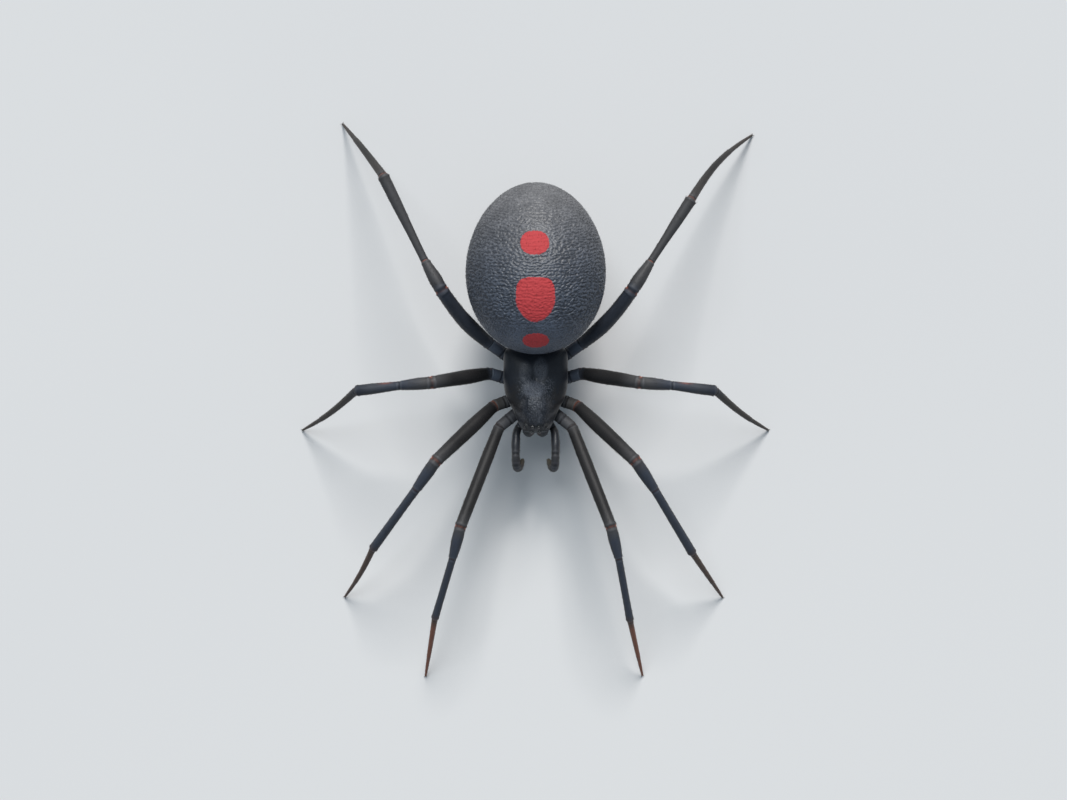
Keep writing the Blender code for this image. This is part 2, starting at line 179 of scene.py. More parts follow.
def ball_rings(rows, columns, gap, start=0.0):
    """Rings of points on a unit ball from its -Y end to its +Y end, with a gap at each."""
    theta = np.linspace(gap, np.pi - gap, rows)
    phi = np.arange(columns) * 2 * np.pi / columns + start
    along, around = np.meshgrid(theta, phi, indexing="ij")
    return np.stack([-np.sin(along) * np.cos(around), -np.cos(along), np.sin(along) * np.sin(around)], -1)


def unit(vectors):
    return vectors / np.linalg.norm(vectors, axis=-1, keepdims=True)


def curve(points, at):
    """Heights at places of a smooth curve through (place, height) points."""
    x, y = np.array(points, float).T
    slope = np.empty(len(x))
    slope[1:-1] = (y[2:] - y[:-2]) / (x[2:] - x[:-2])
    slope[0] = (y[1] - y[0]) / (x[1] - x[0])
    slope[-1] = (y[-1] - y[-2]) / (x[-1] - x[-2])
    at = np.clip(at, x[0], x[-1])
    i = np.clip(np.searchsorted(x, at, side="left") - 1, 0, len(x) - 2)
    step = x[i + 1] - x[i]
    t = (at - x[i]) / step
    rise = (3 - 2 * t) * t * t
    near = t * (1 - t) ** 2 * step * slope[i]
    far = t * t * (t - 1) * step * slope[i + 1]
    return y[i] + (y[i + 1] - y[i]) * rise + near + far


def bump_at(distance, width):
    """A round bump, 1 in its middle."""
    return np.exp(-((distance / width) ** 2))


def smooth_step(low, high, at):
    """0 below low and 1 above high, or the other way round where low is the larger."""
    t = np.clip((at - low) / (high - low), 0, 1)
    return t * t * (3 - 2 * t)


class Grain:
    """Smooth noise of about -1 to 1, one grain to each unit of place."""

    def __init__(self, seed):
        rng = np.random.default_rng(seed)
        self.order = rng.permutation(256)
        self.slopes = unit(rng.normal(size=(256, 3)))

    def at(self, places):
        cell = np.floor(places).astype(int)
        inside = places - cell
        ease = inside**3 * (inside * (inside * 6 - 15) + 10)
        total = np.zeros(places.shape[:-1])
        for corner in np.ndindex(2, 2, 2):
            key = np.zeros(places.shape[:-1], int)
            for k in range(3):
                key = self.order[(key + cell[..., k] + corner[k]) & 255]
            share = np.where(np.array(corner) == 1, ease, 1 - ease).prod(-1)
            total += share * (self.slopes[key] * (inside - corner)).sum(-1)
        return 1.7 * total


class Look:
    """A material and short ways to write its nodes; a socket is linked and a number is set."""

    def __init__(self, name, **shader):
        self.material = bpy.data.materials.new(name)
        self.material.use_nodes = True
        self.tree = self.material.node_tree
        self.shader = self.tree.nodes["Principled BSDF"]
        for socket, value in shader.items():
            self.shader.inputs[socket.replace("_", " ")].default_value = value
        place = self.node("ShaderNodeTexCoord").outputs["Object"]
        self.place = self.vector("SCALE", place, scale=1 / MM)

    def node(self, kind, inputs=(), **settings):
        made = self.tree.nodes.new(kind)
        for setting, value in settings.items():
            setattr(made, setting, value)
        for socket, value in dict(inputs).items():
            if isinstance(value, bpy.types.NodeSocket):
                self.tree.links.new(value, made.inputs[socket])
            else:
                made.inputs[socket].default_value = value
        return made

    def sum(self, operation, *terms, clamp=False):
        """A sum on up to three values, such as POWER."""
        made = self.node("ShaderNodeMath", enumerate(terms), operation=operation, use_clamp=clamp)
        return made.outputs[0]

    def times(self, first, *factors):
        for factor in factors:
            first = self.sum("MULTIPLY", first, factor)
        return first

    def minus(self, first, second):
        return self.sum("SUBTRACT", first, second)

    def vector(self, operation, first, second=(0, 0, 0), scale=1.0):
        """A sum on two places."""
        inputs = {0: first, 1: second, 3: scale}
        return self.node("ShaderNodeVectorMath", inputs, operation=operation).outputs[0]

    def xyz(self, place=None):
        return self.node("ShaderNodeSeparateXYZ", {0: place or self.place}).outputs

    def blend(self, factor, *colours, blend_type="MIX"):
        """From the first colour to the second."""
        first, second = (
            value if isinstance(value, bpy.types.NodeSocket) else (*value, 1) for value in colours
        )
        inputs = {0: factor, 6: first, 7: second}
        return self.node("ShaderNodeMix", inputs, data_type="RGBA", blend_type=blend_type).outputs[2]

    def tinted(self, colour, tint, amount, share):
        """A colour moved towards a tint, by a share of an amount."""
        return self.blend(self.times(amount, share), colour, tint)

    def band(self, value, low, high):
        """0 below low and 1 above high, or the other way round where low is the larger."""
        made = self.node("ShaderNodeMapRange", {0: value, 1: low, 2: high}, interpolation_type="SMOOTHSTEP")
        return made.outputs[0]

    def between(self, value, low, high, start=0.0, end=1.0):
        """From low to high as a value goes from start to end."""
        return self.node("ShaderNodeMapRange", {0: value, 1: start, 2: end, 3: low, 4: high}).outputs[0]

    def ramp(self, value, stops):
        """A colour from (place, colour) stops."""
        made = self.node("ShaderNodeValToRGB", {0: value})
        elements = made.color_ramp.elements
        while len(elements) < len(stops):
            elements.new(0.5)
        for element, (place, colour) in zip(elements, stops):
            element.position = place
            element.color = (*colour, 1)
        return made.outputs[0]

    def noise(self, scale, detail=2.0, place=None, output="Fac"):
        """Soft grain with about that many grains a millimetre."""
        inputs = {"Vector": place or self.place, "Scale": scale, "Detail": detail}
        return self.node("ShaderNodeTexNoise", inputs).outputs[output]

    def value(self, name):
        return self.node("ShaderNodeAttribute", attribute_name=name).outputs["Fac"]

    def stretched(self, across, along):
        """Places on the skin's own map, for a grain that follows the limb."""
        place = self.node("ShaderNodeUVMap", uv_map="Skin").outputs[0]
        made = self.node("ShaderNodeMapping", {"Vector": place, "Scale": (across, along, 1)})
        return made.outputs[0]

    def bumps(self, height, depth, strength=1.0, below=None):
        """Relief of a depth in millimetres, laid over the relief below it."""
        inputs = {"Strength": strength, "Distance": depth * MM, "Height": height}
        if below:
            inputs["Normal"] = below
        return self.node("ShaderNodeBump", inputs).outputs[0]

    def finish(self, colour=None, roughness=None, normal=None):
        wanted = {"Base Color": colour, "Roughness": roughness, "Normal": normal}
        for socket, value in wanted.items():
            if value is not None:
                self.tree.links.new(value, self.shader.inputs[socket])
        return self.material


# Red marks on the abdomen, seen from above: centre x and y, half width and half length, and how
# square each is behind its middle and in front of it
TOP_MARKS = (
    (-0.05, 7.04, 0.64, 0.57, 2.3, 2.3), (-0.02, 4.46, 0.87, 0.98, 3.7, 1.8), (0.0, 2.7, 0.6, 0.3, 2.1, 2.1),
)
HOURGLASS_CENTRE, HOURGLASS_HALF_LENGTH = 6.5, 1.25
HOURGLASS_WAIST, HOURGLASS_SPREAD = 0.2, 0.62
MARK_WOBBLE = 0.11


def red_marks(look):
    """1 where the abdomen is red: three spots down its back and an hourglass beneath."""
    wobble = look.vector("SUBTRACT", look.noise(9, 2, output="Color"), (0.5, 0.5, 0.5))
    x, y, z = look.xyz(look.vector("ADD", look.place, look.vector("SCALE", wobble, scale=MARK_WOBBLE)))
    above = look.band(z, 5.2, 5.6)
    whole = None
    for centre_x, centre_y, half_width, half_length, rear_power, front_power in TOP_MARKS:
        along = look.sum("DIVIDE", look.minus(y, centre_y), half_length)
        across = look.sum("DIVIDE", look.minus(x, centre_x), half_width)
        power = look.between(along, front_power, rear_power, -0.15, 0.15)
        reach = [look.sum("POWER", look.sum("ABSOLUTE", away), power) for away in (across, along)]
        spot = look.times(look.band(look.sum("ADD", *reach), 1.06, 0.94), above)
        whole = spot if whole is None else look.sum("MAXIMUM", whole, spot)
    along = look.sum("DIVIDE", look.minus(y, HOURGLASS_CENTRE), HOURGLASS_HALF_LENGTH)
    along = look.sum("ABSOLUTE", along)
    edge = look.sum("MULTIPLY_ADD", look.sum("POWER", along, 1.4), HOURGLASS_SPREAD, HOURGLASS_WAIST)
    inside = look.band(look.minus(look.sum("ABSOLUTE", x), edge), 0.03, -0.03)
    glass = look.times(inside, look.band(along, 1.03, 0.97), look.band(z, 4.2, 3.9))
    return look.sum("MAXIMUM", whole, glass)


def abdomen_look():
    """Leathery hide: its creases are in the mesh, with a finer grain here. Shade is painted into the creases
    and pits, a highlight onto the rear and a bluish fill light onto the front.
    """
    look = Look("abdomen_hide", Roughness=0.4, Specular_IOR_Level=0.6, IOR=1.5)
    _, y, _ = look.xyz()
    ridge = look.value("ridge")
    dots = look.node("ShaderNodeTexVoronoi", {"Vector": look.place, "Scale": 9.0}).outputs["Distance"]
    patches = look.noise(0.9, 3)
    grain = look.noise(24, 3)
    # Painted highlight: the hide grows paler towards the rear
    shade = look.blend(look.band(y, 4.5, 10.0), HIDE, HIDE_REAR_HIGHLIGHT)
    # Painted fill light: the front of the hide lighter and bluer
    shade = look.blend(look.band(y, 4.6, 3.2), shade, HIDE_FRONT_FILL_LIGHT)
    shade = look.blend(look.band(patches, 0.35, 0.7), look.blend(0.3, shade, BLACK), shade)
    # Painted shade: the hide darkened in its creases and in small pits on the ridges, and the red darker in
    # its creases
    low = look.minus(1.0, ridge)
    dot_pit_shade = look.times(look.band(dots, 0.35, 0.05), 0.35, ridge)
    dark = look.sum("ADD", look.times(low, 0.72), dot_pit_shade, clamp=True)
    mark = red_marks(look)
    hide = look.blend(dark, shade, CREASE_SHADE)
    red = look.tinted(RED, RED_CREASE_SHADE, low, 0.35)
    normal = look.bumps(grain, 0.01, 0.6, look.bumps(dots, 0.02, 0.5))
    rough = look.between(look.noise(5, 3), 0.4, 0.52)
    rough = look.sum("ADD", rough, look.times(mark, 0.35), clamp=True)
    return look.finish(look.blend(mark, hide, red), rough, normal)


# Painted highlights, as paler places on the carapace: centre x and y, half width, half length and strength
SHEEN_HIGHLIGHT_PLACES = (
    (-0.1, 0.5, 0.62, 0.45, 1.0), (0.08, -0.1, 0.42, 0.5, 0.22), (0.06, -0.85, 0.3, 0.42, 0.12),
    (-0.5, 1.35, 0.34, 0.6, 0.36), (0.24, 1.5, 0.38, 0.6, 0.55),
)


def carapace_look(name="carapace_plate", grainy=True):
    """Dark blue-black horn with a granular head, brownish cheeks and a pale rim; the head's paler places and
    pale granules are painted highlights.
    """
    look = Look(name, Roughness=0.4, Specular_IOR_Level=0.46, IOR=1.5)
    x, y, _ = look.xyz()
    clouds = look.noise(1.8, 4)
    fine = look.noise(20, 3)
    colour = look.blend(clouds, PLATE_DARK, PLATE_LIGHT)
    if grainy:
        cheeks = look.times(
            look.band(look.sum("ABSOLUTE", x), 0.6, 0.85), look.band(y, 0.95, 0.5),
            look.band(y, -0.95, -0.45), look.band(look.noise(2.6, 3), 0.3, 0.6),
        )
        colour = look.tinted(colour, UMBER, cheeks, 0.8)
        # Painted highlights: paler places on the head and behind the pit
        for centre_x, centre_y, half_width, half_length, strength in SHEEN_HIGHLIGHT_PLACES:
            across = look.sum("POWER", look.sum("DIVIDE", look.minus(x, centre_x), half_width), 2.0)
            along = look.sum("POWER", look.sum("DIVIDE", look.minus(y, centre_y), half_length), 2.0)
            spot = look.band(look.sum("ADD", across, along), 1.25, 0.3)
            spot = look.times(spot, look.band(fine, 0.25, 0.6))
            colour = look.tinted(colour, SHEEN_HIGHLIGHT, spot, strength)
        # Painted highlight: the granules paler, as glints
        colour = look.tinted(colour, GRANULE_GLINT_GREY, look.value("granule"), 0.6)
        colour = look.tinted(colour, BLACK, look.value("pit"), 0.85)
        colour = look.tinted(colour, RIM_GREY, look.value("rim"), 0.75)
    return look.finish(colour, look.between(clouds, 0.3, 0.46), look.bumps(fine, 0.008, 0.6))


def limb_look(name, stops, gloss=0.32, low=0.5, high=0.62):
    """Satin limb skin: (place, colour) stops in segments, with a painted highlight along the back, painted
    shade down the sides, and joint marks.
    """
    look = Look(name, Specular_IOR_Level=gloss, IOR=1.5, Sheen_Weight=0.05, Sheen_Roughness=0.35,
                Sheen_Tint=(1.0, 0.8, 0.62, 1))
    length = stops[-1][0]
    place = look.sum("DIVIDE", look.value("along"), length)
    colour = look.ramp(place, [(at / length, shade) for at, shade in stops])
    streaks = look.noise(1.0, 4, look.stretched(34.0, 9.0))
    # Shaded and lit copies of the colour, for painted shade down the sides and a painted highlight along the
    # back
    dark = look.blend(0.55, colour, (0, 0, 0))
    light = look.blend(0.5, colour, colour, blend_type="ADD")
    drift = look.times(look.minus(streaks, 0.5), 0.6)
    top_lit = look.sum("MULTIPLY_ADD", look.value("top_light"), 0.85, drift)
    colour = look.blend(look.band(top_lit, -0.1, 1.0), dark, light)
    colour = look.tinted(colour, BLACK, look.noise(2.4, 3), 0.25)
    # Painted highlight: the lips beside each joint paler on their tops
    colour = look.tinted(colour, LIP_HIGHLIGHT_GREY, look.value("lip"), 0.24)
    colour = look.tinted(colour, BLACK, look.value("joint"), 0.6)
    colour = look.tinted(colour, JOINT_RED, look.value("mark"), 0.95)
    normal = look.bumps(look.noise(22, 3), 0.005, 0.5, look.bumps(streaks, 0.008, 0.5))
    return look.finish(colour, look.between(streaks, low, high), normal)


def plain_look(name, dark, light, grains, depth, low, high, **shader):
    """A clouded colour with fine grain."""
    look = Look(name, **shader)
    clouds = look.noise(grains, 3)
    normal = look.bumps(look.noise(grains * 8), depth, 0.6)
    return look.finish(look.blend(clouds, dark, light), look.between(clouds, low, high), normal)


def chelicera_look():
    """Blue-grey horn, browner towards the fangs and salmon where the pair meet."""
    look = Look("horn_pair", Specular_IOR_Level=0.3)
    x, _, z = look.xyz()
    clouds = look.noise(2.2, 3)
    colour = look.blend(clouds, (0.009, 0.011, 0.015), (0.024, 0.029, 0.039))
    colour = look.blend(look.band(z, 3.1, 2.5), colour, (0.034, 0.02, 0.016))
    middle = look.times(look.band(look.sum("ABSOLUTE", x), 0.34, 0.1), look.band(z, 2.7, 3.1))
    colour = look.tinted(colour, (0.1, 0.048, 0.033), middle, 0.6)
    return look.finish(colour, look.between(clouds, 0.3, 0.5), look.bumps(look.noise(17, 3), 0.008, 0.8))


def abdomen_hair_look():
    """Bristles that take the red of the mark that they grow from."""
    look = Look("abdomen_bristle", Roughness=0.5)
    dark = look.blend(look.noise(4), HAIR, (0.05, 0.045, 0.042))
    return look.finish(look.blend(red_marks(look), dark, (0.16, 0.022, 0.02)))


# Distance between the points of a limb's line
STEP = 0.02


def rounded_line(corners, rounding, bows=None):
    """A line through corners, each stretch bowed by its offset and each bend rounded; with the
    place of each corner in it."""
    corners = [np.array(corner, float) for corner in corners]
    stretches, marks = [], [0]
    for start, end, bow in zip(corners, corners[1:], bows or [0.0] * len(corners)):
        count = max(4, int(np.linalg.norm(end - start) / STEP))
        t = np.arange(count)[:, None] / count
        stretches.append(start + (end - start) * t + bow * np.sin(np.pi * t))
        marks.append(marks[-1] + count)
    line = np.concatenate(stretches + [corners[-1][None]])
    reach = int(rounding / STEP)
    window = np.hanning(2 * reach + 3)[1:-1]
    before = line[0] + (line[0] - line[1]) * np.arange(reach, 0, -1)[:, None]
    after = line[-1] + (line[-1] - line[-2]) * np.arange(1, reach + 1)[:, None]
    long = np.concatenate([before, line, after])
    weights = window / window.sum()
    line = np.stack([np.convolve(long[:, k], weights, "valid") for k in range(3)], 1)
    return line, marks


# Way that the dash on a limb faces
REAR_EDGE = np.array((0.0, 0.85, 0.53))
JOINT_SPAN, JOINT_SPACING = 0.22, 0.02
# Distances from a limb's end at which its tip has rings
TIP_RINGS = np.array([0, 0.004, 0.01, 0.018, 0.028, 0.042, 0.06])


class Limb:
    """A limb's centre line, frame and radius, at any place along it and angle round it.

    Angle 0 is to the side and a quarter turn is the back. Each groove is a joint's depth as a
    share of the radius, reds say how red each joint is, on its back and at its hinges, and dash
    is the place of an orange dash on the rear edge, in segments."""

    def __init__(self, line, marks, widths, grooves=(), tip_round=True, up=UP, reds=None, dash=None):
        lengths = np.linalg.norm(np.diff(line, axis=0), axis=1)
        self.runs = np.concatenate([[0], np.cumsum(lengths)])
        self.line, self.length = line, self.runs[-1]
        self.marks, self.grooves = self.runs[marks], grooves
        self.reds, self.dash = reds or [(0.0, 0.0)] * len(grooves), dash
        self.tip_round = tip_round
        self.tangent = unit(np.gradient(line, axis=0))
        self.back = unit(up - (self.tangent @ up)[:, None] * self.tangent)
        radius = np.empty(len(line))
        for k, sizes in enumerate(widths):
            inside = slice(marks[k], marks[k + 1] + 1)
            share = (self.runs[inside] - self.marks[k]) / (self.marks[k + 1] - self.marks[k])
            points = list(zip(np.linspace(0, 1, len(sizes)), sizes))
            radius[inside] = curve(points, share) / 2
        window = np.hanning(9)[1:-1]
        self.radii = np.convolve(np.pad(radius, 3, "edge"), window / window.sum(), "valid")

    def along(self, runs):
        """Places along the limb in segments."""
        return np.interp(runs, self.marks, np.arange(len(self.marks)))

    def size(self, runs):
        """The radius before joints and tip."""
        return np.interp(runs, self.runs, self.radii)

    def frame(self, runs):
        """Centre, direction and back direction at places along the limb."""
        found = []
        for rows in (self.line, self.tangent, self.back):
            found.append(np.stack([np.interp(runs, self.runs, rows[:, k]) for k in range(3)], -1))
        return found[0], unit(found[1]), unit(found[2])

    def radius(self, runs, angles):
        """The radius with a groove at each joint, a lip on both sides of it and a knob at its hinges."""
        size = self.size(runs)
        whole = size.copy()
        for mark, groove in zip(self.marks[1:-1], self.grooves):
            depth, away = size * groove, runs - mark
            whole -= depth * bump_at(away, 0.055) * (0.75 - 0.25 * np.sin(angles))
            whole += depth * 0.3 * bump_at(away + 0.11, 0.05)
            whole += depth * 0.22 * bump_at(away - 0.1, 0.05)
            whole += depth * 0.75 * bump_at(away, 0.07) * np.abs(np.cos(angles)) ** 14
        if self.tip_round:
            reach = size * 1.1
            left = np.clip((runs - (self.length - reach)) / reach, 0, 0.998)
            whole *= np.sqrt(1 - left**2)
        return whole

    def surface(self, runs, angles, lift=0.0):
        """Points of the skin, the way out of it and the way along it."""
        centre, tangent, back = self.frame(runs)
        side = np.cross(back, tangent)
        out = np.cos(angles)[..., None] * side + np.sin(angles)[..., None] * back
        return centre + out * (self.radius(runs, angles) + lift)[..., None], out, tangent

    def shell(self, sides, spacing=0.06):
        """The limb's skin, with closer rings at its joints and tip."""
        runs = [np.arange(0, self.length, spacing)]
        for mark, groove in zip(self.marks[1:-1], self.grooves):
            if groove:
                runs.append(mark + np.arange(-JOINT_SPAN, JOINT_SPAN + 0.001, JOINT_SPACING))
        runs.append(self.length - TIP_RINGS)
        runs = np.unique(np.round(np.clip(np.concatenate(runs), 0, self.length), 3))
        runs[-1] = min(runs[-1], self.length)
        angles = np.arange(sides) * 2 * np.pi / sides - np.pi / 2
        along, around = np.meshgrid(runs, angles, indexing="ij")
        grid, out, _ = self.surface(along, around)
        joint, lip, mark = np.zeros((3, *along.shape))
        if self.dash:
            away = np.arccos(np.clip(out @ REAR_EDGE, -1, 1))
            mark = 0.75 * bump_at(self.along(along) - self.dash, 0.12) * bump_at(away, 0.3)
        for place, (back, hinge) in zip(self.marks[1:-1], self.reds):
            joint = np.maximum(joint, bump_at(along - place, 0.034))
            lip = np.maximum(lip, bump_at(np.abs(along - place) - 0.1, 0.03))
            dash = back * smooth_step(0.6, 0.97, np.sin(around)) * bump_at(along - place + 0.015, 0.03)
            dot = hinge * np.abs(np.cos(around)) ** 9 * bump_at(along - place, 0.055)
            mark = np.maximum(mark, np.maximum(dash, dot))
        # Painted highlight: 1 along the back, falling to 0 down the sides and beneath
        top_light = smooth_step(-0.1, 0.95, np.sin(around))
        values = {"joint": joint, "lip": lip * top_light, "mark": mark, "top_light": top_light}
        return ring_shell(grid, along=self.along(along), **values)


def limb_through(corners, rounding, widths, grooves=(), **options):
    """A limb through corners, with widths for each stretch between them."""
    return Limb(*rounded_line(corners, rounding), widths, grooves, **options)


LEG_PARTS = ("coxa", "femur", "patella", "tibia", "metatarsus")
TROCHANTER_AT = 0.64
TARSUS_AT = 0.66
ROOT_DEPTH = 0.2
TIP_HEIGHT = 0.06
# Widths of coxa, trochanter, femur, patella, tibia, metatarsus and tarsus of each leg, along each
LEG_WIDTHS = {
    1: ((0.48, 0.6, 0.58), (0.56, 0.58, 0.52), (0.54, 0.6, 0.58, 0.54), (0.5, 0.55, 0.5, 0.38),
        (0.35, 0.35, 0.35, 0.38), (0.29, 0.25, 0.21), (0.19, 0.16, 0.1)),
    2: ((0.5, 0.62, 0.6), (0.58, 0.6, 0.56), (0.58, 0.7, 0.66, 0.57), (0.54, 0.57, 0.52, 0.42),
        (0.4, 0.4, 0.42, 0.44), (0.31, 0.27, 0.22), (0.2, 0.17, 0.1)),
    3: ((0.5, 0.62, 0.6), (0.58, 0.6, 0.56), (0.58, 0.7, 0.66, 0.58), (0.56, 0.58, 0.52, 0.42),
        (0.4, 0.46, 0.52, 0.52), (0.37, 0.31, 0.25), (0.22, 0.18, 0.1)),
    4: ((0.5, 0.62, 0.6), (0.58, 0.6, 0.56), (0.6, 0.72, 0.68, 0.62), (0.58, 0.63, 0.54, 0.4),
        (0.36, 0.4, 0.5, 0.54), (0.4, 0.34, 0.27), (0.24, 0.19, 0.11)),
}
LEG_GROOVES = (0.2, 0.24, 0.22, 0.16, 0.16, 0.06)
# How red each joint is, on its back and at its hinges, from the coxa's outer end to the tarsus
LEG_MARKS = {
    1: ((0, 0), (0.03, 0.1), (0.26, 0.9), (0.1, 0.1), (0.25, 0.5), (0, 0)),
    2: ((0, 0), (0.12, 0.6), (0.24, 0.9), (0.1, 0.1), (0.4, 0.4), (0, 0)),
    3: ((0, 0), (0, 0.2), (0.08, 0.9), (0, 0), (0.0, 0.7), (0, 0)),
    4: ((0, 0), (0, 0.2), (0.06, 0.9), (0.5, 0.1), (0.25, 1.0), (0, 0)),
}
# Where the third legs have an orange dash on the rear edge of the tibia
LEG_DASH = 4.3
LEG_SIDES = 28
LEG_BEND = 0.28


def node_points(name):
    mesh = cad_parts[name].data
    points = np.empty(3 * len(mesh.vertices))
    mesh.vertices.foreach_get("co", points)
    return points.reshape(-1, 3) / MM


def flat_ends(name):
    """Centres of a leg solid's two flat ends: many triangles in one plane, close together."""
    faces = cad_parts[name].data.polygons
    normals = np.array([face.normal for face in faces])
    centres = np.array([face.center for face in faces]) / MM
    areas = np.array([face.area for face in faces])
    alike = normals @ normals.T > 0.9999
    close = np.linalg.norm(centres[:, None] - centres, axis=-1) < 0.6
    ends = []
    left = np.ones(len(areas), bool)
    for _ in range(2):
        counts = (alike & close & left).sum(1) * left
        group = alike[np.argmax(counts)] & close[np.argmax(counts)] & left
        ends.append((centres[group] * areas[group, None]).sum(0) / areas[group].sum())
        left &= ~alike[np.argmax(counts)]
    return ends


def leg_corners(leg):
    """A leg's joints from its solids, root to foot, and each stretch's sideways bow."""
    reached = np.array((0.0, 0.5, 3.0))
    starts, ends, bows = [], [], []
    for part in LEG_PARTS:
        name = f"{leg}_{part}"
        near, far = sorted(flat_ends(name), key=lambda end: np.linalg.norm(end - reached))
        starts.append(near)
        ends.append(far)
        reached = far
        chord = far - near
        points = np.unique(np.round(node_points(name), 5), axis=0)
        share = (points - near) @ chord / (chord @ chord)
        middle = np.abs(share - 0.5) < 0.05
        bow = np.zeros(3)
        # A straight piece may have no corners at its middle
        if middle.sum() > 5:
            bow = points[middle].mean(0) - near - chord * share[middle].mean()
        bows.append(bow)
    corners = [starts[0]]
    corners += [(end + start) / 2 for end, start in zip(ends, starts[1:])]
    return corners + [ends[-1]], bows


def leg_limb(leg, number):
    corners, bows = leg_corners(leg)
    corners[0] = corners[0] + ROOT_DEPTH * unit(corners[0] - corners[1])
    corners[-1] = corners[-1] + (0, 0, TIP_HEIGHT)
    line, marks = rounded_line(corners, LEG_BEND, bows)
    marks.insert(1, int(marks[0] + TROCHANTER_AT * (marks[1] - marks[0])))
    marks.insert(-1, int(marks[-2] + TARSUS_AT * (marks[-1] - marks[-2])))
    dash = LEG_DASH if number == 3 else None
    return Limb(line, marks, LEG_WIDTHS[number], LEG_GROOVES, reds=LEG_MARKS[number], dash=dash)


# Half the size of a bristle's patch on the map, and its corners' places in the patch
PATCH = 0.0015
PATCH_CORNERS = np.array([(-1, -1), (1, -1), (0, -1), (-0.7, 0), (0.7, 0), (0, 0), (0, 1)])
BRISTLE_WIDTH, BRISTLE_SWAY, BRISTLE_BEND = 0.009, 0.22, 0.22
SHORT_WIDTH = 0.008
LENGTH_RANGE, LEAN_RANGE = (0.65, 1.25), (0.6, 1.5)


def bristles(name, roots, out, lie, places, length, width, lean, material, seed):
    """Tapering three-sided bristles that rise from the skin and bend over along their lie.

    Each has a patch on the map at its root's place on the skin's own unwrap."""
    rng = np.random.default_rng(seed)
    count = len(roots)
    length = length * rng.uniform(*LENGTH_RANGE, (count, 1))
    lean = lean * rng.uniform(*LEAN_RANGE, (count, 1))
    cross = unit(np.cross(out, lie))
    lie = unit(unit(np.cross(cross, out)) + cross * rng.normal(0, BRISTLE_SWAY, (count, 1)))
    cross = np.cross(out, lie)
    rise = lie * np.cos(lean) + out * np.sin(lean)
    bend = BRISTLE_BEND * length
    middle = roots + rise * length * 0.5
    tip = roots + rise * length + lie * bend * 0.5 - out * bend * np.sin(lean)
    base = roots - out * width
    points = np.empty((count, 7, 3))
    for k in range(3):
        turn = 2 * np.pi * k / 3
        spoke = math.cos(turn) * cross + math.sin(turn) * np.cross(cross, rise)
        points[:, k] = base + spoke * width / 2
        points[:, 3 + k] = middle + spoke * width * 0.36
    points[:, 6] = tip
    quads = np.array([(0, 1, 4, 3), (1, 2, 5, 4), (2, 0, 3, 5)])
    triangles = np.array([(3, 4, 6), (4, 5, 6), (5, 3, 6), (0, 2, 1)])
    offset = 7 * np.arange(count)[:, None, None]
    quads = (quads + offset).reshape(-1, 4)
    triangles = (triangles + offset).reshape(-1, 3)
    uv = np.clip(places[:, None] + PATCH * PATCH_CORNERS, 0, 1).reshape(-1, 2)
    corners = np.concatenate([quads.reshape(-1), triangles.reshape(-1)])
    shell = Shell(points.reshape(-1, 3), quads, triangles, uv[corners])
    piece(name, shell, material, uv_name="OFBake")


def limb_bristles(name, limb, density, length, lean, material, seed, span):
    """Bristles over part of a limb, as dense as given for each square millimetre."""
    rng = np.random.default_rng(seed)
    start, end = span[0] * limb.length, span[1] * limb.length
    mean_radius = limb.size(np.linspace(start, end, 200)).mean()
    count = int(2 * np.pi * mean_radius * (end - start) * density)
    runs = rng.uniform(start, end - 0.03, 3 * count)
    keep = rng.uniform(0, limb.radii.max(), 3 * count) < limb.size(runs)
    runs = runs[keep][:count]
    angles = rng.uniform(-np.pi, np.pi, len(runs))
    roots, out, along = limb.surface(runs, angles)
    places = np.stack([(angles + np.pi / 2) / (2 * np.pi) % 1, runs / limb.length], -1)
    size = length * (0.55 + 0.45 * limb.size(runs) / limb.radii.max())[:, None]
    bristles(name, roots, out, along, places, size, BRISTLE_WIDTH, lean, material, seed + 1)


# The abdomen's egg: half sizes, tilt downwards at the rear and taper towards it
EGG_CENTRE = np.array((0, 6.37, 5.19))
EGG_SIZE = np.array((3.34, 4.42, 2.92))
EGG_TILT = math.radians(23)
EGG_TAPER = 0.065
BACK_HEIGHT = 5
ABDOMEN_RINGS, ABDOMEN_SEGMENTS, ABDOMEN_GAP = 440, 600, 0.012
ABDOMEN_BRISTLES = 5200
HAIR_DEPTH = 0.02
# Three pairs of shallow dimples on the back: distance from the middle, and place along it
DIMPLES = ((0.95, 5.0), (0.8, 7.2), (0.6, 9.0))
DIMPLE_DEPTH, DIMPLE_WIDTH = 0.02, 0.14
# Creases run crosswise, in flat arcs round a point behind the rear end
CREASE_HUB = 13.5
CREASE_LENGTH, CREASE_SPACING, CREASE_DEPTH = 0.15, 0.16, 0.047


def abdomen_surface(ball):
    """Skin points of the abdomen from points on a unit ball, and the way out of it at each."""
    taper = 1 - EGG_TAPER * ball[..., 1]
    egg = np.stack([ball[..., 0] * taper, ball[..., 1], ball[..., 2] * taper], -1)
    out = unit(ball / (EGG_SIZE * np.stack([taper, np.ones_like(taper), taper], -1)))
    points = egg * EGG_SIZE - HAIR_DEPTH * out
    cos, sin = math.cos(EGG_TILT), math.sin(EGG_TILT)
    turn = np.array(((1, 0, 0), (0, cos, sin), (0, -sin, cos)))
    return points @ turn.T + EGG_CENTRE, out @ turn.T


def marked(points):
    """1 inside the red marks on the back, where the creases are shallower."""
    x, y = points[..., 0], points[..., 1]
    inside = np.zeros(x.shape)
    for centre_x, centre_y, half_width, half_length, _, _ in TOP_MARKS:
        reach = ((x - centre_x) / half_width) ** 2 + ((y - centre_y) / half_length) ** 2
        inside = np.maximum(inside, smooth_step(1.2, 0.8, reach))
    return inside * (points[..., 2] > BACK_HEIGHT)


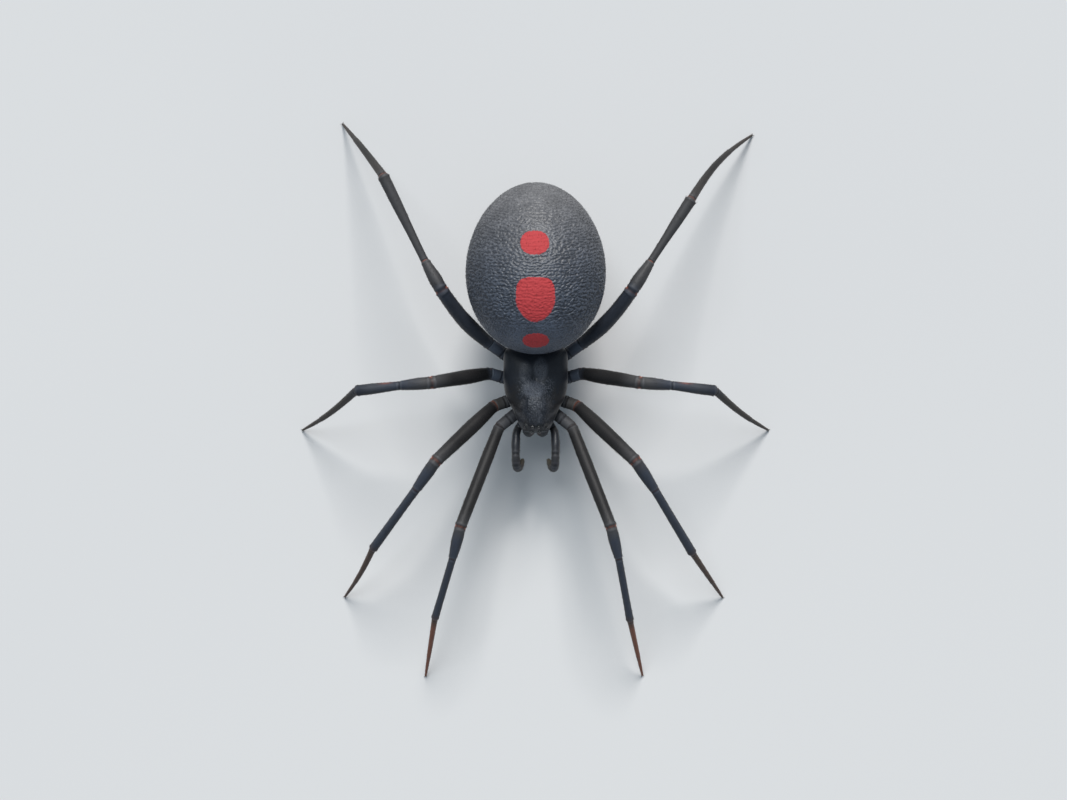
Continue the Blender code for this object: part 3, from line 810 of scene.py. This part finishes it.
def abdomen_ridges(points):
    """1 on the ridges between the hide's creases and 0 in them; smoother towards both ends."""
    x, y, z = points[..., 0], points[..., 1], points[..., 2]
    soft = Grain(31).at(points / 0.9)
    stray = Grain(32).at(points / 0.45 + 7)
    reach = np.hypot(x, y - CREASE_HUB)
    sweep = np.arctan2(x, CREASE_HUB - y) * reach
    arcs = np.stack([sweep, 1.7 * (reach + 0.08 * soft), z], -1) / CREASE_LENGTH
    turn = 2 * np.pi * (reach + 0.1 * soft + 0.04 * stray) / CREASE_SPACING
    turn += 3.4 * Grain(33).at(arcs) + 1.6 * Grain(34).at(2.1 * arcs)
    folds = 0.36 * np.cos(turn) + 0.75 * Grain(36).at(1.15 * arcs + 3)
    pebbles = Grain(35).at(points / 0.07)
    crosswise = smooth_step(2.7, 4.0, y) * smooth_step(11.0, 10.0, y)
    height = crosswise * folds + (1 - crosswise) * pebbles
    strength = 0.35 + 0.65 * smooth_step(2.2, 4.0, y) * (0.48 + 0.52 * smooth_step(9.4, 6.8, y))
    strength = strength * (0.7 + 0.3 * smooth_step(3.6, 5.4, z)) * (1 - 0.45 * marked(points))
    strength = strength * (0.8 + 0.2 * smooth_step(0.7, 1.8, np.abs(x)))
    return 1 - strength * (1 - smooth_step(-0.5, 0.45, height))


def build_abdomen():
    points, out = abdomen_surface(ball_rings(ABDOMEN_RINGS, ABDOMEN_SEGMENTS, ABDOMEN_GAP, -np.pi / 2))
    dimple = np.zeros(points.shape[:2])
    for x, y in DIMPLES:
        for sign in (1, -1):
            away = np.hypot(points[..., 0] - sign * x, points[..., 1] - y)
            dimple += DIMPLE_DEPTH * bump_at(away, DIMPLE_WIDTH) * (points[..., 2] > BACK_HEIGHT)
    ridge = abdomen_ridges(points)
    points = points - out * (dimple + CREASE_DEPTH * (1 - ridge))[..., None]
    piece("abdomen_skin", ring_shell(points, ridge=ridge), abdomen_look(), ["abdomen"])

    rng = np.random.default_rng(SEEDS["abdomen"])
    ball = unit(rng.normal(size=(ABDOMEN_BRISTLES, 3)))
    ball = ball[np.abs(ball[:, 1]) < 0.995]
    roots, out = abdomen_surface(ball)
    rearward = np.tile((0.0, math.cos(EGG_TILT), -math.sin(EGG_TILT)), (len(ball), 1))
    places = np.stack([
        (np.arctan2(ball[:, 2], -ball[:, 0]) + np.pi / 2) / (2 * np.pi) % 1,
        np.arccos(np.clip(-ball[:, 1], -1, 1)) / np.pi,
    ], -1)
    look, seed = abdomen_hair_look(), SEEDS["abdomen"] + 1
    bristles("abdomen_bristles", roots, out, rearward, places, 0.1, SHORT_WIDTH, 0.25, look, seed)


FRONT, REAR = -1.56, 2.78
UNDERSIDE, CARAPACE_RIM = 3.55, 0.1
HALF_WIDTH = (
    (-1.56, 0.62), (-1.12, 0.86), (-0.49, 1.14), (0.1, 1.45), (0.7, 1.58),
    (1.5, 1.6), (2.3, 1.57), (2.6, 1.36), (2.78, 0.98),
)
THORAX_HEIGHT = (
    (-1.56, 0.45), (-1.1, 0.62), (-0.5, 0.7), (0.3, 0.76), (1.6, 0.76),
    (2.1, 0.68), (2.5, 0.5), (2.78, 0.3),
)
HEAD_HEIGHT = (
    (-1.56, 0.16), (-1.4, 0.32), (-1.1, 0.42), (-0.6, 0.46),
    (0.0, 0.38), (0.5, 0.16), (0.9, 0.0), (2.78, 0.0),
)
HEAD_HALF_WIDTH = ((-1.56, 0.5), (-0.6, 0.72), (0.0, 0.62), (0.9, 0.3), (2.78, 0.3))
PIT_PLACE, PIT_DEPTH, PIT_HALF_WIDTH = 1.05, 0.14, 0.3
ROWS, COLUMNS, LIP_ROWS = 250, 250, 7
CARAPACE_BRISTLES = 2600
GRANULE, GRANULE_HEIGHT, EYE_RIM = 0.062, 0.018, 0.024
# Points that the eyes' rims and the granules rise away from
HEAD_MIDDLE, BODY_MIDDLE = (0, -0.85, 3.9), (0, -0.4, 2.4)
END_RINGS = (0.05, 0.25, 0.45, 0.65, 0.82, 0.93, 0.98)
EYES = ("anterior_median", "anterior_lateral", "posterior_median", "posterior_lateral")
# Grooves of the carapace's left half: the neck's bends, and both ends of each ray
NECK_GROOVE = ((0.12, 0.85), (0.62, 0.22), (0.98, -0.5))
RAYS = (((0.3, 1.0), (1.25, 0.35)), ((0.34, 1.12), (1.4, 1.15)), ((0.22, 1.3), (1.05, 1.95)))
NECK_DEPTH, RAY_DEPTH, FURROW_DEPTH, SWELLING_HEIGHT = 0.01, 0.006, 0.008, 0.022


def eye_places():
    """Centre and radius of each eye, from its solid."""
    found = {}
    for eye in EYES:
        for side in SIDES:
            low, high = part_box(f"eye_{eye}_{side}")
            found[f"{eye}_{side}"] = (np.array((low + high) / 2) / MM, (high.x - low.x) / 2 / MM)
    return found


def distance_to(x, y, start, end):
    """Distance from points to a stretch of groove, and how far along it each is."""
    step = np.subtract(end, start)
    share = np.clip(((x - start[0]) * step[0] + (y - start[1]) * step[1]) / (step @ step), 0, 1)
    return np.hypot(x - start[0] - share * step[0], y - start[1] - share * step[1]), share


def carapace_height(x, y):
    half = curve(HALF_WIDTH, y)
    across = np.clip(np.abs(x) / half, 0, 1)
    thorax = curve(THORAX_HEIGHT, y) * np.sqrt(1 - across**2.5)
    head = curve(HEAD_HEIGHT, y) * np.exp(-((x / curve(HEAD_HALF_WIDTH, y)) ** 4))
    pit = PIT_DEPTH * np.exp(-(x**2 + (y - PIT_PLACE) ** 2) / PIT_HALF_WIDTH**2)
    fade = np.clip(6 * (1 - across), 0, 1)
    detail = np.zeros_like(x)
    wide = np.abs(x)
    for start, end in zip(NECK_GROOVE, NECK_GROOVE[1:]):
        away, _ = distance_to(wide, y, start, end)
        detail = np.maximum(detail, NECK_DEPTH * bump_at(away, 0.12))
    for start, end in RAYS:
        away, share = distance_to(wide, y, start, end)
        detail = np.maximum(detail, RAY_DEPTH * bump_at(away, 0.11) * (1 - 0.6 * share))
    detail += FURROW_DEPTH * bump_at(x, 0.05) * bump_at(y - PIT_PLACE, 0.25)
    # Two low swellings behind the pit
    detail -= SWELLING_HEIGHT * bump_at(np.hypot(wide - 0.38, 0.7 * (y - 1.45)), 0.36)
    return UNDERSIDE + CARAPACE_RIM + thorax + (head - pit) * fade - detail * fade


def closed_ends(grid, push):
    """Rings added inside a grid's first and last ring, which close it with low domes."""
    domes = []
    for edge, way in ((grid[0], -1), (grid[-1], 1)):
        centre = (edge.min(0) + edge.max(0)) / 2
        share = np.array(END_RINGS)[:, None, None]
        rings = centre + (edge - centre) * share
        rings[..., 1] += way * push * (1 - share[..., 0] ** 2)
        domes.append(rings)
    return np.concatenate([domes[0], grid, domes[1][::-1]])


def tucked(edge, scale, height):
    """A row of the carapace drawn in to a scale and down to a share of its height."""
    row = edge.copy()
    row[:, 0] *= scale
    row[:, 2] = UNDERSIDE + (edge[:, 2] - UNDERSIDE) * height
    return row


def build_carapace(look):
    share = np.linspace(0, 1, ROWS)
    y = FRONT + (REAR - FRONT) * (1 - np.cos(np.pi * share)) / 2
    turn = np.linspace(0, np.pi, COLUMNS)
    around, along = np.meshgrid(turn, y)
    half = curve(HALF_WIDTH, along) - 0.02
    x = half * np.cos(around)
    z = carapace_height(x * (1 - 1e-9), along) - 0.015
    # The edge is a rounded lip, and both ends round over
    end = np.minimum(along - FRONT, REAR - along)
    rounding = np.sqrt(1 - np.clip(1 - end / 0.1, 0, 1) ** 2)
    z = UNDERSIDE + (z - UNDERSIDE) * (0.75 + 0.25 * rounding)
    top = np.stack([x * (0.9 + 0.1 * rounding), along, z], -1)
    pit, clear = np.zeros(top.shape[:2]), np.ones(top.shape[:2])
    for centre, radius in eye_places().values():
        away = np.linalg.norm(top - centre, axis=-1)
        rim = EYE_RIM * bump_at(away - radius - 0.012, 0.022)
        top = top + unit(top - HEAD_MIDDLE) * rim[..., None]
        pit = np.maximum(pit, bump_at(away - radius, 0.1))
        clear = np.minimum(clear, smooth_step(0.02, 0.07, away - radius))
    share = np.abs(top[..., 0]) / np.maximum(half, 0.1)
    head = smooth_step(1.25, 0.75, along) * smooth_step(1.05, 0.6, np.abs(x)) * clear
    granule = head * smooth_step(-0.05, 0.5, Grain(41).at(top / GRANULE))
    # Fewer, lower granules, and so fewer painted glints, on both cheeks and towards the front, as painted
    # shade there
    granule = granule * (1 - 0.6 * bump_at(np.hypot(np.abs(top[..., 0]) - 0.75, 0.8 * (along + 0.25)), 0.42))
    granule = granule * (0.4 + 0.6 * smooth_step(-0.8, 0.1, along))
    top = top + unit(top - BODY_MIDDLE) * (GRANULE_HEIGHT * granule)[..., None]
    rim = smooth_step(0.955, 0.99, share)
    lip = []
    for k in range(1, LIP_ROWS + 1):
        cos, sin = math.cos(np.pi / 2 * k / LIP_ROWS), math.sin(np.pi / 2 * k / LIP_ROWS)
        lip.append((1 - 0.04 * (1 - cos) - 0.03 * sin, 1 - sin))
    under = [tucked(top[:, -1], *step) for step in lip]
    under += [tucked(under[-1], share, 1) for share in (0.5, 0.0, -0.5)]
    under += [tucked(top[:, 0], *step) for step in reversed(lip)]
    grid = np.concatenate([top, np.stack(under, 1)], 1)
    below = np.zeros((ROWS, len(under)))
    grid = closed_ends(grid, 0.05)
    values = {}
    for name, value, under_value in (("granule", granule, 0), ("pit", pit, 0), ("rim", rim, 0.5)):
        whole = np.concatenate([value, below + under_value], 1)
        values[name] = np.pad(whole, ((len(END_RINGS), len(END_RINGS)), (0, 0)))
    piece("carapace_plate", ring_shell(grid, **values), look, ["carapace"])


def build_carapace_bristles(material):
    rng = np.random.default_rng(SEEDS["carapace"])
    y = rng.uniform(-1.5, 2.6, CARAPACE_BRISTLES)
    x = rng.uniform(-1, 1, CARAPACE_BRISTLES) * (curve(HALF_WIDTH, y) - 0.06)
    keep = rng.uniform(size=CARAPACE_BRISTLES) < np.where(y < 0.7, 0.9, 0.35)
    x, y = x[keep], y[keep]
    centres = np.array([centre for centre, _ in eye_places().values()])
    roots = np.stack([x, y, carapace_height(x, y) - 0.018], -1)
    clear = np.linalg.norm(roots[:, None] - centres, axis=-1).min(1) > 0.15
    roots, x, y = roots[clear], x[clear], y[clear]
    slope_x = (carapace_height(x + 0.01, y) - carapace_height(x - 0.01, y)) / 0.02
    slope_y = (carapace_height(x, y + 0.01) - carapace_height(x, y - 0.01)) / 0.02
    out = unit(np.stack([-slope_x, -slope_y, np.ones_like(x)], -1))
    lie = np.stack([-0.25 * np.sign(x), np.full_like(x, -1.0), np.zeros_like(x)], -1)
    share = (y - FRONT) / (REAR - FRONT)
    row = np.arccos(np.clip(1 - 2 * share, -1, 1)) / np.pi * (ROWS - 1)
    column = np.arccos(np.clip(x / curve(HALF_WIDTH, y), -1, 1)) / np.pi * COLUMNS
    places = np.stack([
        column / (COLUMNS + 2 * LIP_ROWS + 3),
        (len(END_RINGS) + row) / (ROWS - 1 + 2 * len(END_RINGS)),
    ], -1)
    seed = SEEDS["carapace"] + 1
    bristles("carapace_bristles", roots, out, lie, places, 0.08, SHORT_WIDTH, 0.4, material, seed)


def build_eyes():
    look = plain_look("eye_lens", (0.004, 0.004, 0.005), (0.012, 0.008, 0.006), 8, 0.0008, 0.03, 0.08,
                      Specular_IOR_Level=0.7, Coat_Weight=1.0, Coat_Roughness=0.03)
    ball = ball_rings(24, 36, 0.05)
    for name, (centre, radius) in eye_places().items():
        piece(f"eye_lens_{name}", ring_shell(centre + (radius - 0.004) * ball), look, [f"eye_{name}"])


# Half width of the body between the legs, and of the breastplate under it, along the body
CORE_HALF_WIDTH = (
    (-1.0, 0.18), (-0.86, 0.36), (-0.5, 0.66), (0.1, 0.86), (0.9, 0.86), (1.7, 0.62), (2.14, 0.12),
)
PLATE_HALF_WIDTH = (
    (-0.92, 0.26), (-0.86, 0.36), (-0.5, 0.58), (0.1, 0.76), (0.9, 0.72), (1.6, 0.4), (2.02, 0.05),
)


def lens_shell(outline, low, high, power, sides=60):
    """A body with an outline from half widths, more boxlike as the power falls."""
    start, end = outline[0][0], outline[-1][0]
    y = start + (end - start) * (1 - np.cos(np.pi * np.linspace(0, 1, sides))) / 2
    half = np.maximum(curve(outline, y), 0.02)
    along, around = np.meshgrid(np.arange(sides), np.arange(sides) * 2 * np.pi / sides, indexing="ij")
    cos, sin = np.cos(around), np.sin(around)
    x = -half[along] * np.sign(cos) * np.abs(cos) ** power
    fall = np.minimum(1, half[along] / max(half) * 1.4) ** 0.5
    z = (low + high) / 2 + (high - low) / 2 * np.sign(sin) * np.abs(sin) ** power * fall
    return ring_shell(np.stack([x, y[along], z], -1))


def build_underside(look):
    piece("body_core", lens_shell(CORE_HALF_WIDTH, 2.5, 3.62, 0.45), look, ["sternum"])
    piece("breastplate", lens_shell(PLATE_HALF_WIDTH, 2.4, 2.64, 0.8), look)
    lip = limb_through(((0, -1.12, 2.62), (0, -0.82, 2.52)), 0.05, ((0.22, 0.34, 0.3),))
    piece("lower_lip", lip.shell(24, 0.03), look)


# Mouthparts on the spider's left, as in the solids: centre and radius along each
CHELICERA = (
    ((0.33, -1.2, 3.58), 0.27), ((0.34, -1.36, 3.2), 0.325),
    ((0.34, -1.53, 2.85), 0.325), ((0.33, -1.63, 2.5), 0.27), ((0.32, -1.68, 2.27), 0.18),
)
FANG = (
    ((0.32, -1.66, 2.42), 0.1), ((0.315, -1.69, 2.24), 0.105), ((0.3, -1.72, 2.0), 0.09),
    ((0.26, -1.7, 1.86), 0.07), ((0.19, -1.64, 1.77), 0.045), ((0.1, -1.56, 1.74), 0.012),
)
PALP = (
    ((0.34, -0.72, 2.84), 0.15), ((0.72, -1.2, 2.74), 0.2), ((0.9, -1.45, 2.86), 0.18),
    ((0.97, -1.72, 3.04), 0.2), ((0.99, -2.2, 3.24), 0.21), ((0.99, -2.65, 3.3), 0.19),
    ((0.98, -2.88, 3.28), 0.2), ((0.97, -3.15, 3.2), 0.2), ((0.93, -3.4, 2.98), 0.21),
    ((0.83, -3.4, 2.66), 0.2), ((0.72, -3.2, 2.4), 0.16), ((0.63, -2.98, 2.22), 0.09),
)
# The palps' joints, by their stations, and how deep each is
PALP_JOINTS, PALP_GROOVES = (2, 5, 7, 8), (0.12, 0.12, 0.1, 0.08)


def station_limb(stations, sign, up, joints=(), grooves=()):
    """A limb through stations, with a joint at some of them."""
    line, marks = rounded_line([np.array(centre) * (sign, 1, 1) for centre, _ in stations], 0.16)
    ends = [0, *joints, len(stations) - 1]
    widths = [[2 * radius for _, radius in stations[near:far + 1]] for near, far in zip(ends, ends[1:])]
    return Limb(line, [marks[k] for k in ends], widths, grooves, up=up)


def build_mouthparts(horn, limb, hair):
    fang_look = plain_look("fang_horn", (0.012, 0.004, 0.003), (0.07, 0.018, 0.008), 3, 0.001, 0.12, 0.25,
                           Coat_Weight=0.4, Coat_Roughness=0.1)
    for side, sign in SIDES.items():
        chelicera = station_limb(CHELICERA, sign, (0.0, -1.0, 0.2))
        fang = station_limb(FANG, sign, (0.0, -1.0, 0.0))
        palp = station_limb(PALP, sign, (0.0, 0.35, 1.0), PALP_JOINTS, PALP_GROOVES)
        piece(f"chelicera_horn_{side}", chelicera.shell(36, 0.04), horn, [f"chelicera_{side}"])
        piece(f"fang_horn_{side}", fang.shell(20, 0.03), fang_look, [f"fang_{side}"])
        piece(f"palp_skin_{side}", palp.shell(32, 0.04), limb, [f"palp_{side}"])
        seed, slot = SEEDS["mouthparts"] + 10 * sign, "mouthparts"
        limb_bristles(f"palp_bristles_{side}", palp, 80, 0.13, 0.4, hair, seed, (0.15, 1.0))
        name, span = f"chelicera_bristles_{side}", (0.35, 0.98)
        limb_bristles(name, chelicera, 40, 0.1, 0.4, hair, seed + 3, span)


PEDICEL_PLACE = ((0, 2.62, 3.66), (0, 2.95, 3.66), (0, 3.4, 3.68))
# Way from the egg's centre to the spinnerets, before its tilt
SPINNERET_PLACE = (0, 0.96, -0.28)
# Spinnerets: side offset, offset towards the back, length and radius at the root
SPINNERETS = ((0.19, 0.17, 0.5, 0.14), (0.19, -0.19, 0.52, 0.155), (0.08, 0.0, 0.34, 0.07))


def build_waist_and_spinnerets(plate, horn, hair):
    waist = limb_through(PEDICEL_PLACE, 0.12, ((0.42, 0.42), (0.42, 0.42)), (0.12,), tip_round=False)
    piece("waist", waist.shell(28, 0.03), plate, ["pedicel"])

    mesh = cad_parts["abdomen"].data
    surface = BVHTree.FromPolygons([v.co for v in mesh.vertices], [f.vertices for f in mesh.polygons])
    cos, sin = math.cos(EGG_TILT), math.sin(EGG_TILT)
    x, y, z = SPINNERET_PLACE
    outward = Vector((x, cos * y + sin * z, -sin * y + cos * z)).normalized()
    spot, normal, _, _ = surface.ray_cast(Vector(EGG_CENTRE * MM), outward)
    spot, normal = np.array(spot) / MM, np.array(normal)
    back = np.cross(normal, (1, 0, 0))
    turret = (spot - 0.15 * normal, spot + 0.3 * normal)
    turret = limb_through(turret, 0.05, ((0.86, 0.84, 0.8, 0.66),), tip_round=False, up=back)
    cones = []
    for out, rearward, length, radius in SPINNERETS:
        for sign in SIDES.values():
            offset = np.array((1, 0, 0)) * out * sign + back * rearward
            foot = spot + offset + 0.15 * normal
            lean = unit(normal - 0.2 * offset)
            corners = (foot, foot + lean * 0.62 * length, foot + lean * length)
            widths = ((2 * radius, 1.8 * radius), (1.66 * radius, 0.8 * radius))
            cones.append(limb_through(corners, 0.04, widths, (0.12,), up=back))
    shells = [turret.shell(36, 0.02)] + [cone.shell(20, 0.02) for cone in cones]
    piece("spinneret_cones", merged(shells), horn, ["spinnerets"])
    for k, cone in enumerate(cones):
        name, span = f"spinneret_bristles_{k + 1}", (0.3, 0.95)
        limb_bristles(name, cone, 160, 0.1, 0.6, hair, SEEDS["spinnerets"] + k, span)


# A foot's claws: way to the side, length and radius
CLAWS = ((0.45, 0.13, 0.014), (-0.45, 0.13, 0.014), (0.0, 0.08, 0.01))
CLAW_HEIGHT = 0.012


def claw_shells(limb):
    """Two curved claws at the tip, spread to the sides, and a small one between them."""
    tip, tangent, back = (rows[0] for rows in limb.frame(np.array([limb.length - 0.04])))
    side = np.cross(back, tangent)
    shells = []
    for spread, length, radius in CLAWS:
        level = unit(unit(tangent + spread * side) * (1, 1, 0.25))
        root = tip + spread * side * 0.04
        middle = root + level * length * 0.6
        middle[2] = max(middle[2], radius + CLAW_HEIGHT)
        end = root + level * length
        end[2] = CLAW_HEIGHT
        widths = ((2 * radius, 1.7 * radius), (1.7 * radius, 0.5 * radius))
        shells.append(limb_through((root, middle, end), 0.04, widths, (0,)).shell(10, 0.012))
    return shells


# Colours along each leg: 0 coxa, 1 trochanter, 2 femur, 3 patella, 4 tibia, 5 metatarsus, 6 tarsus
LEG_STOPS = {
    1: ((0, BLACK), (0.35, BLACK), (0.6, (0.055, 0.056, 0.062)), (1.9, (0.066, 0.065, 0.068)),
        (2.1, CHARCOAL), (2.85, CHARCOAL), (3.05, GREY), (3.4, STEEL), (4.9, STEEL),
        (5.03, (0.05, 0.028, 0.02)), (5.2, SALMON), (7, SALMON)),
    2: ((0, BLACK), (0.35, BLACK), (0.6, STEEL), (1.0, (0.052, 0.048, 0.045)),
        (1.88, (0.055, 0.05, 0.046)), (1.97, SALMON), (2.03, COAL), (2.7, COAL),
        (3.0, (0.036, 0.035, 0.037)), (3.4, STEEL), (4.9, STEEL), (5.05, (0.045, 0.026, 0.02)),
        (7, (0.06, 0.034, 0.026))),
    # The trochanters of legs III and IV end in a pale blue-white painted as a highlight
    3: ((0, DEEP_BLUE), (0.7, STEEL), (1.9, STEEL_HIGHLIGHT), (2.1, COAL), (2.7, COAL), (2.95, GREY),
        (3.2, GREY), (3.9, STEEL), (4.1, STEEL), (4.6, (0.033, 0.037, 0.046)), (4.93, DEEP_BLUE),
        (5.2, UMBER), (7, BROWN)),
    4: ((0, DEEP_BLUE), (0.7, STEEL), (1.9, (0.085, 0.1, 0.13)), (2.1, SLATE), (2.8, SLATE),
        (2.98, STEEL), (3.2, (0.034, 0.034, 0.037)), (4.0, GREY), (4.9, GREY), (5.1, UMBER),
        (5.6, COAL), (6, UMBER), (7, BROWN)),
}


def build_legs(hair, rusty_hair, claw):
    for number in LEG_WIDTHS:
        look = limb_look(f"leg{number}_skin", LEG_STOPS[number])
        for side, sign in SIDES.items():
            leg = f"leg{number}_{side}"
            limb = leg_limb(leg, number)
            nodes = [f"{leg}_{part}" for part in LEG_PARTS]
            piece(f"{leg}_skin", limb.shell(LEG_SIDES), look, nodes)
            seed = SEEDS["legs"] + 20 * number + sign
            foot = limb.marks[5] / limb.length
            limb_bristles(f"{leg}_bristles", limb, 70, 0.12, 0.3, hair, seed, (0.1, foot))
            slot, foot_hair = ("rusty_foot", rusty_hair) if number < 3 else ("dark_foot", hair)
            name = f"{leg}_foot_bristles"
            limb_bristles(name, limb, 140, 0.1, 0.35, foot_hair, seed + 7, (foot, 1.0))
            piece(f"{leg}_claws", merged(claw_shells(limb)), claw)


# Lights: name, energy, size in degrees, way and colour
LIGHTS = (
    ("key", 2.75, 20, (-0.06, -0.77, -0.63), (1.0, 0.97, 0.93)),
    ("overhead", 1.0, 30, (0.22, -0.45, -0.86), (0.92, 0.97, 1.0)),
)
SKY, SKY_STRENGTH = (0.73, 0.87, 1.0, 1), 0.3
FILM_WIDTH, FOCAL_PIXELS, PICTURE_PIXELS = 36, 966, 1067
CAMERA_PLACE = (-0.000106, 0, 0.0512)


def build_stage():
    """A pale floor, two soft lights and a pale sky."""
    mesh = bpy.data.meshes.new("floor")
    corners = [(-1, -1, 0), (1, -1, 0), (1, 1, 0), (-1, 1, 0)]
    mesh.from_pydata(corners, [], [(0, 1, 2, 3)])
    look = Look("floor_paper", Roughness=0.9, Specular_IOR_Level=0.1)
    mesh.materials.append(look.finish(look.blend(look.noise(0.02), (0.66, 0.66, 0.67), (0.7, 0.7, 0.7))))
    floor = placed("floor", mesh)

    scene.view_settings.view_transform = "Standard"
    scene.world = bpy.data.worlds.new("studio")
    scene.world.use_nodes = True
    background = scene.world.node_tree.nodes["Background"]
    background.inputs["Color"].default_value = SKY
    background.inputs["Strength"].default_value = SKY_STRENGTH
    for name, energy, size, way, colour in LIGHTS:
        light = bpy.data.lights.new(name, "SUN")
        light.energy = energy
        light.color = colour
        light.angle = math.radians(size)
        placed(name, light).rotation_euler = Vector(way).to_track_quat("-Z", "Y").to_euler()


def build_camera():
    """Straight above, at the photograph's framing."""
    camera = bpy.data.cameras.new("camera")
    camera.sensor_width = FILM_WIDTH
    camera.lens = FILM_WIDTH * FOCAL_PIXELS / PICTURE_PIXELS
    camera.clip_start = 0.001
    scene.camera = placed("camera", camera)
    scene.camera.location = CAMERA_PLACE


plate_look = carapace_look()
core_look = carapace_look("underside_plate", grainy=False)
horn_look = plain_look(
    "horn", (0.06, 0.068, 0.082), (0.16, 0.085, 0.06), 2.2, 0.006, 0.25, 0.45, Specular_IOR_Level=0.45
)
hair_look = plain_look("bristle", (0.012, 0.01, 0.009), (0.05, 0.04, 0.034), 4, 0.001, 0.4, 0.6)
rusty_hair_look = plain_look("rusty_bristle", (0.05, 0.02, 0.01), (0.18, 0.07, 0.035), 4, 0.001, 0.4, 0.6)
palp_look = limb_look("palp_skin", (
    (0, BLACK), (0.8, STEEL), (1, CHARCOAL), (1.4, (0.016, 0.02, 0.027)), (2.2, (0.028, 0.027, 0.029)),
    (3.9, (0.019, 0.023, 0.031)), (4.1, UMBER), (5, (0.08, 0.068, 0.045)),
), 0.42, 0.34, 0.46)
claw_look = plain_look("claw_horn", (0.01, 0.006, 0.005), (0.05, 0.02, 0.012), 8, 0.001, 0.2, 0.35)

build_camera()
build_stage()
build_abdomen()
build_carapace(plate_look)
build_carapace_bristles(hair_look)
build_eyes()
build_underside(core_look)
build_mouthparts(chelicera_look(), palp_look, hair_look)
build_waist_and_spinnerets(core_look, horn_look, hair_look)
build_legs(hair_look, rusty_hair_look, claw_look)
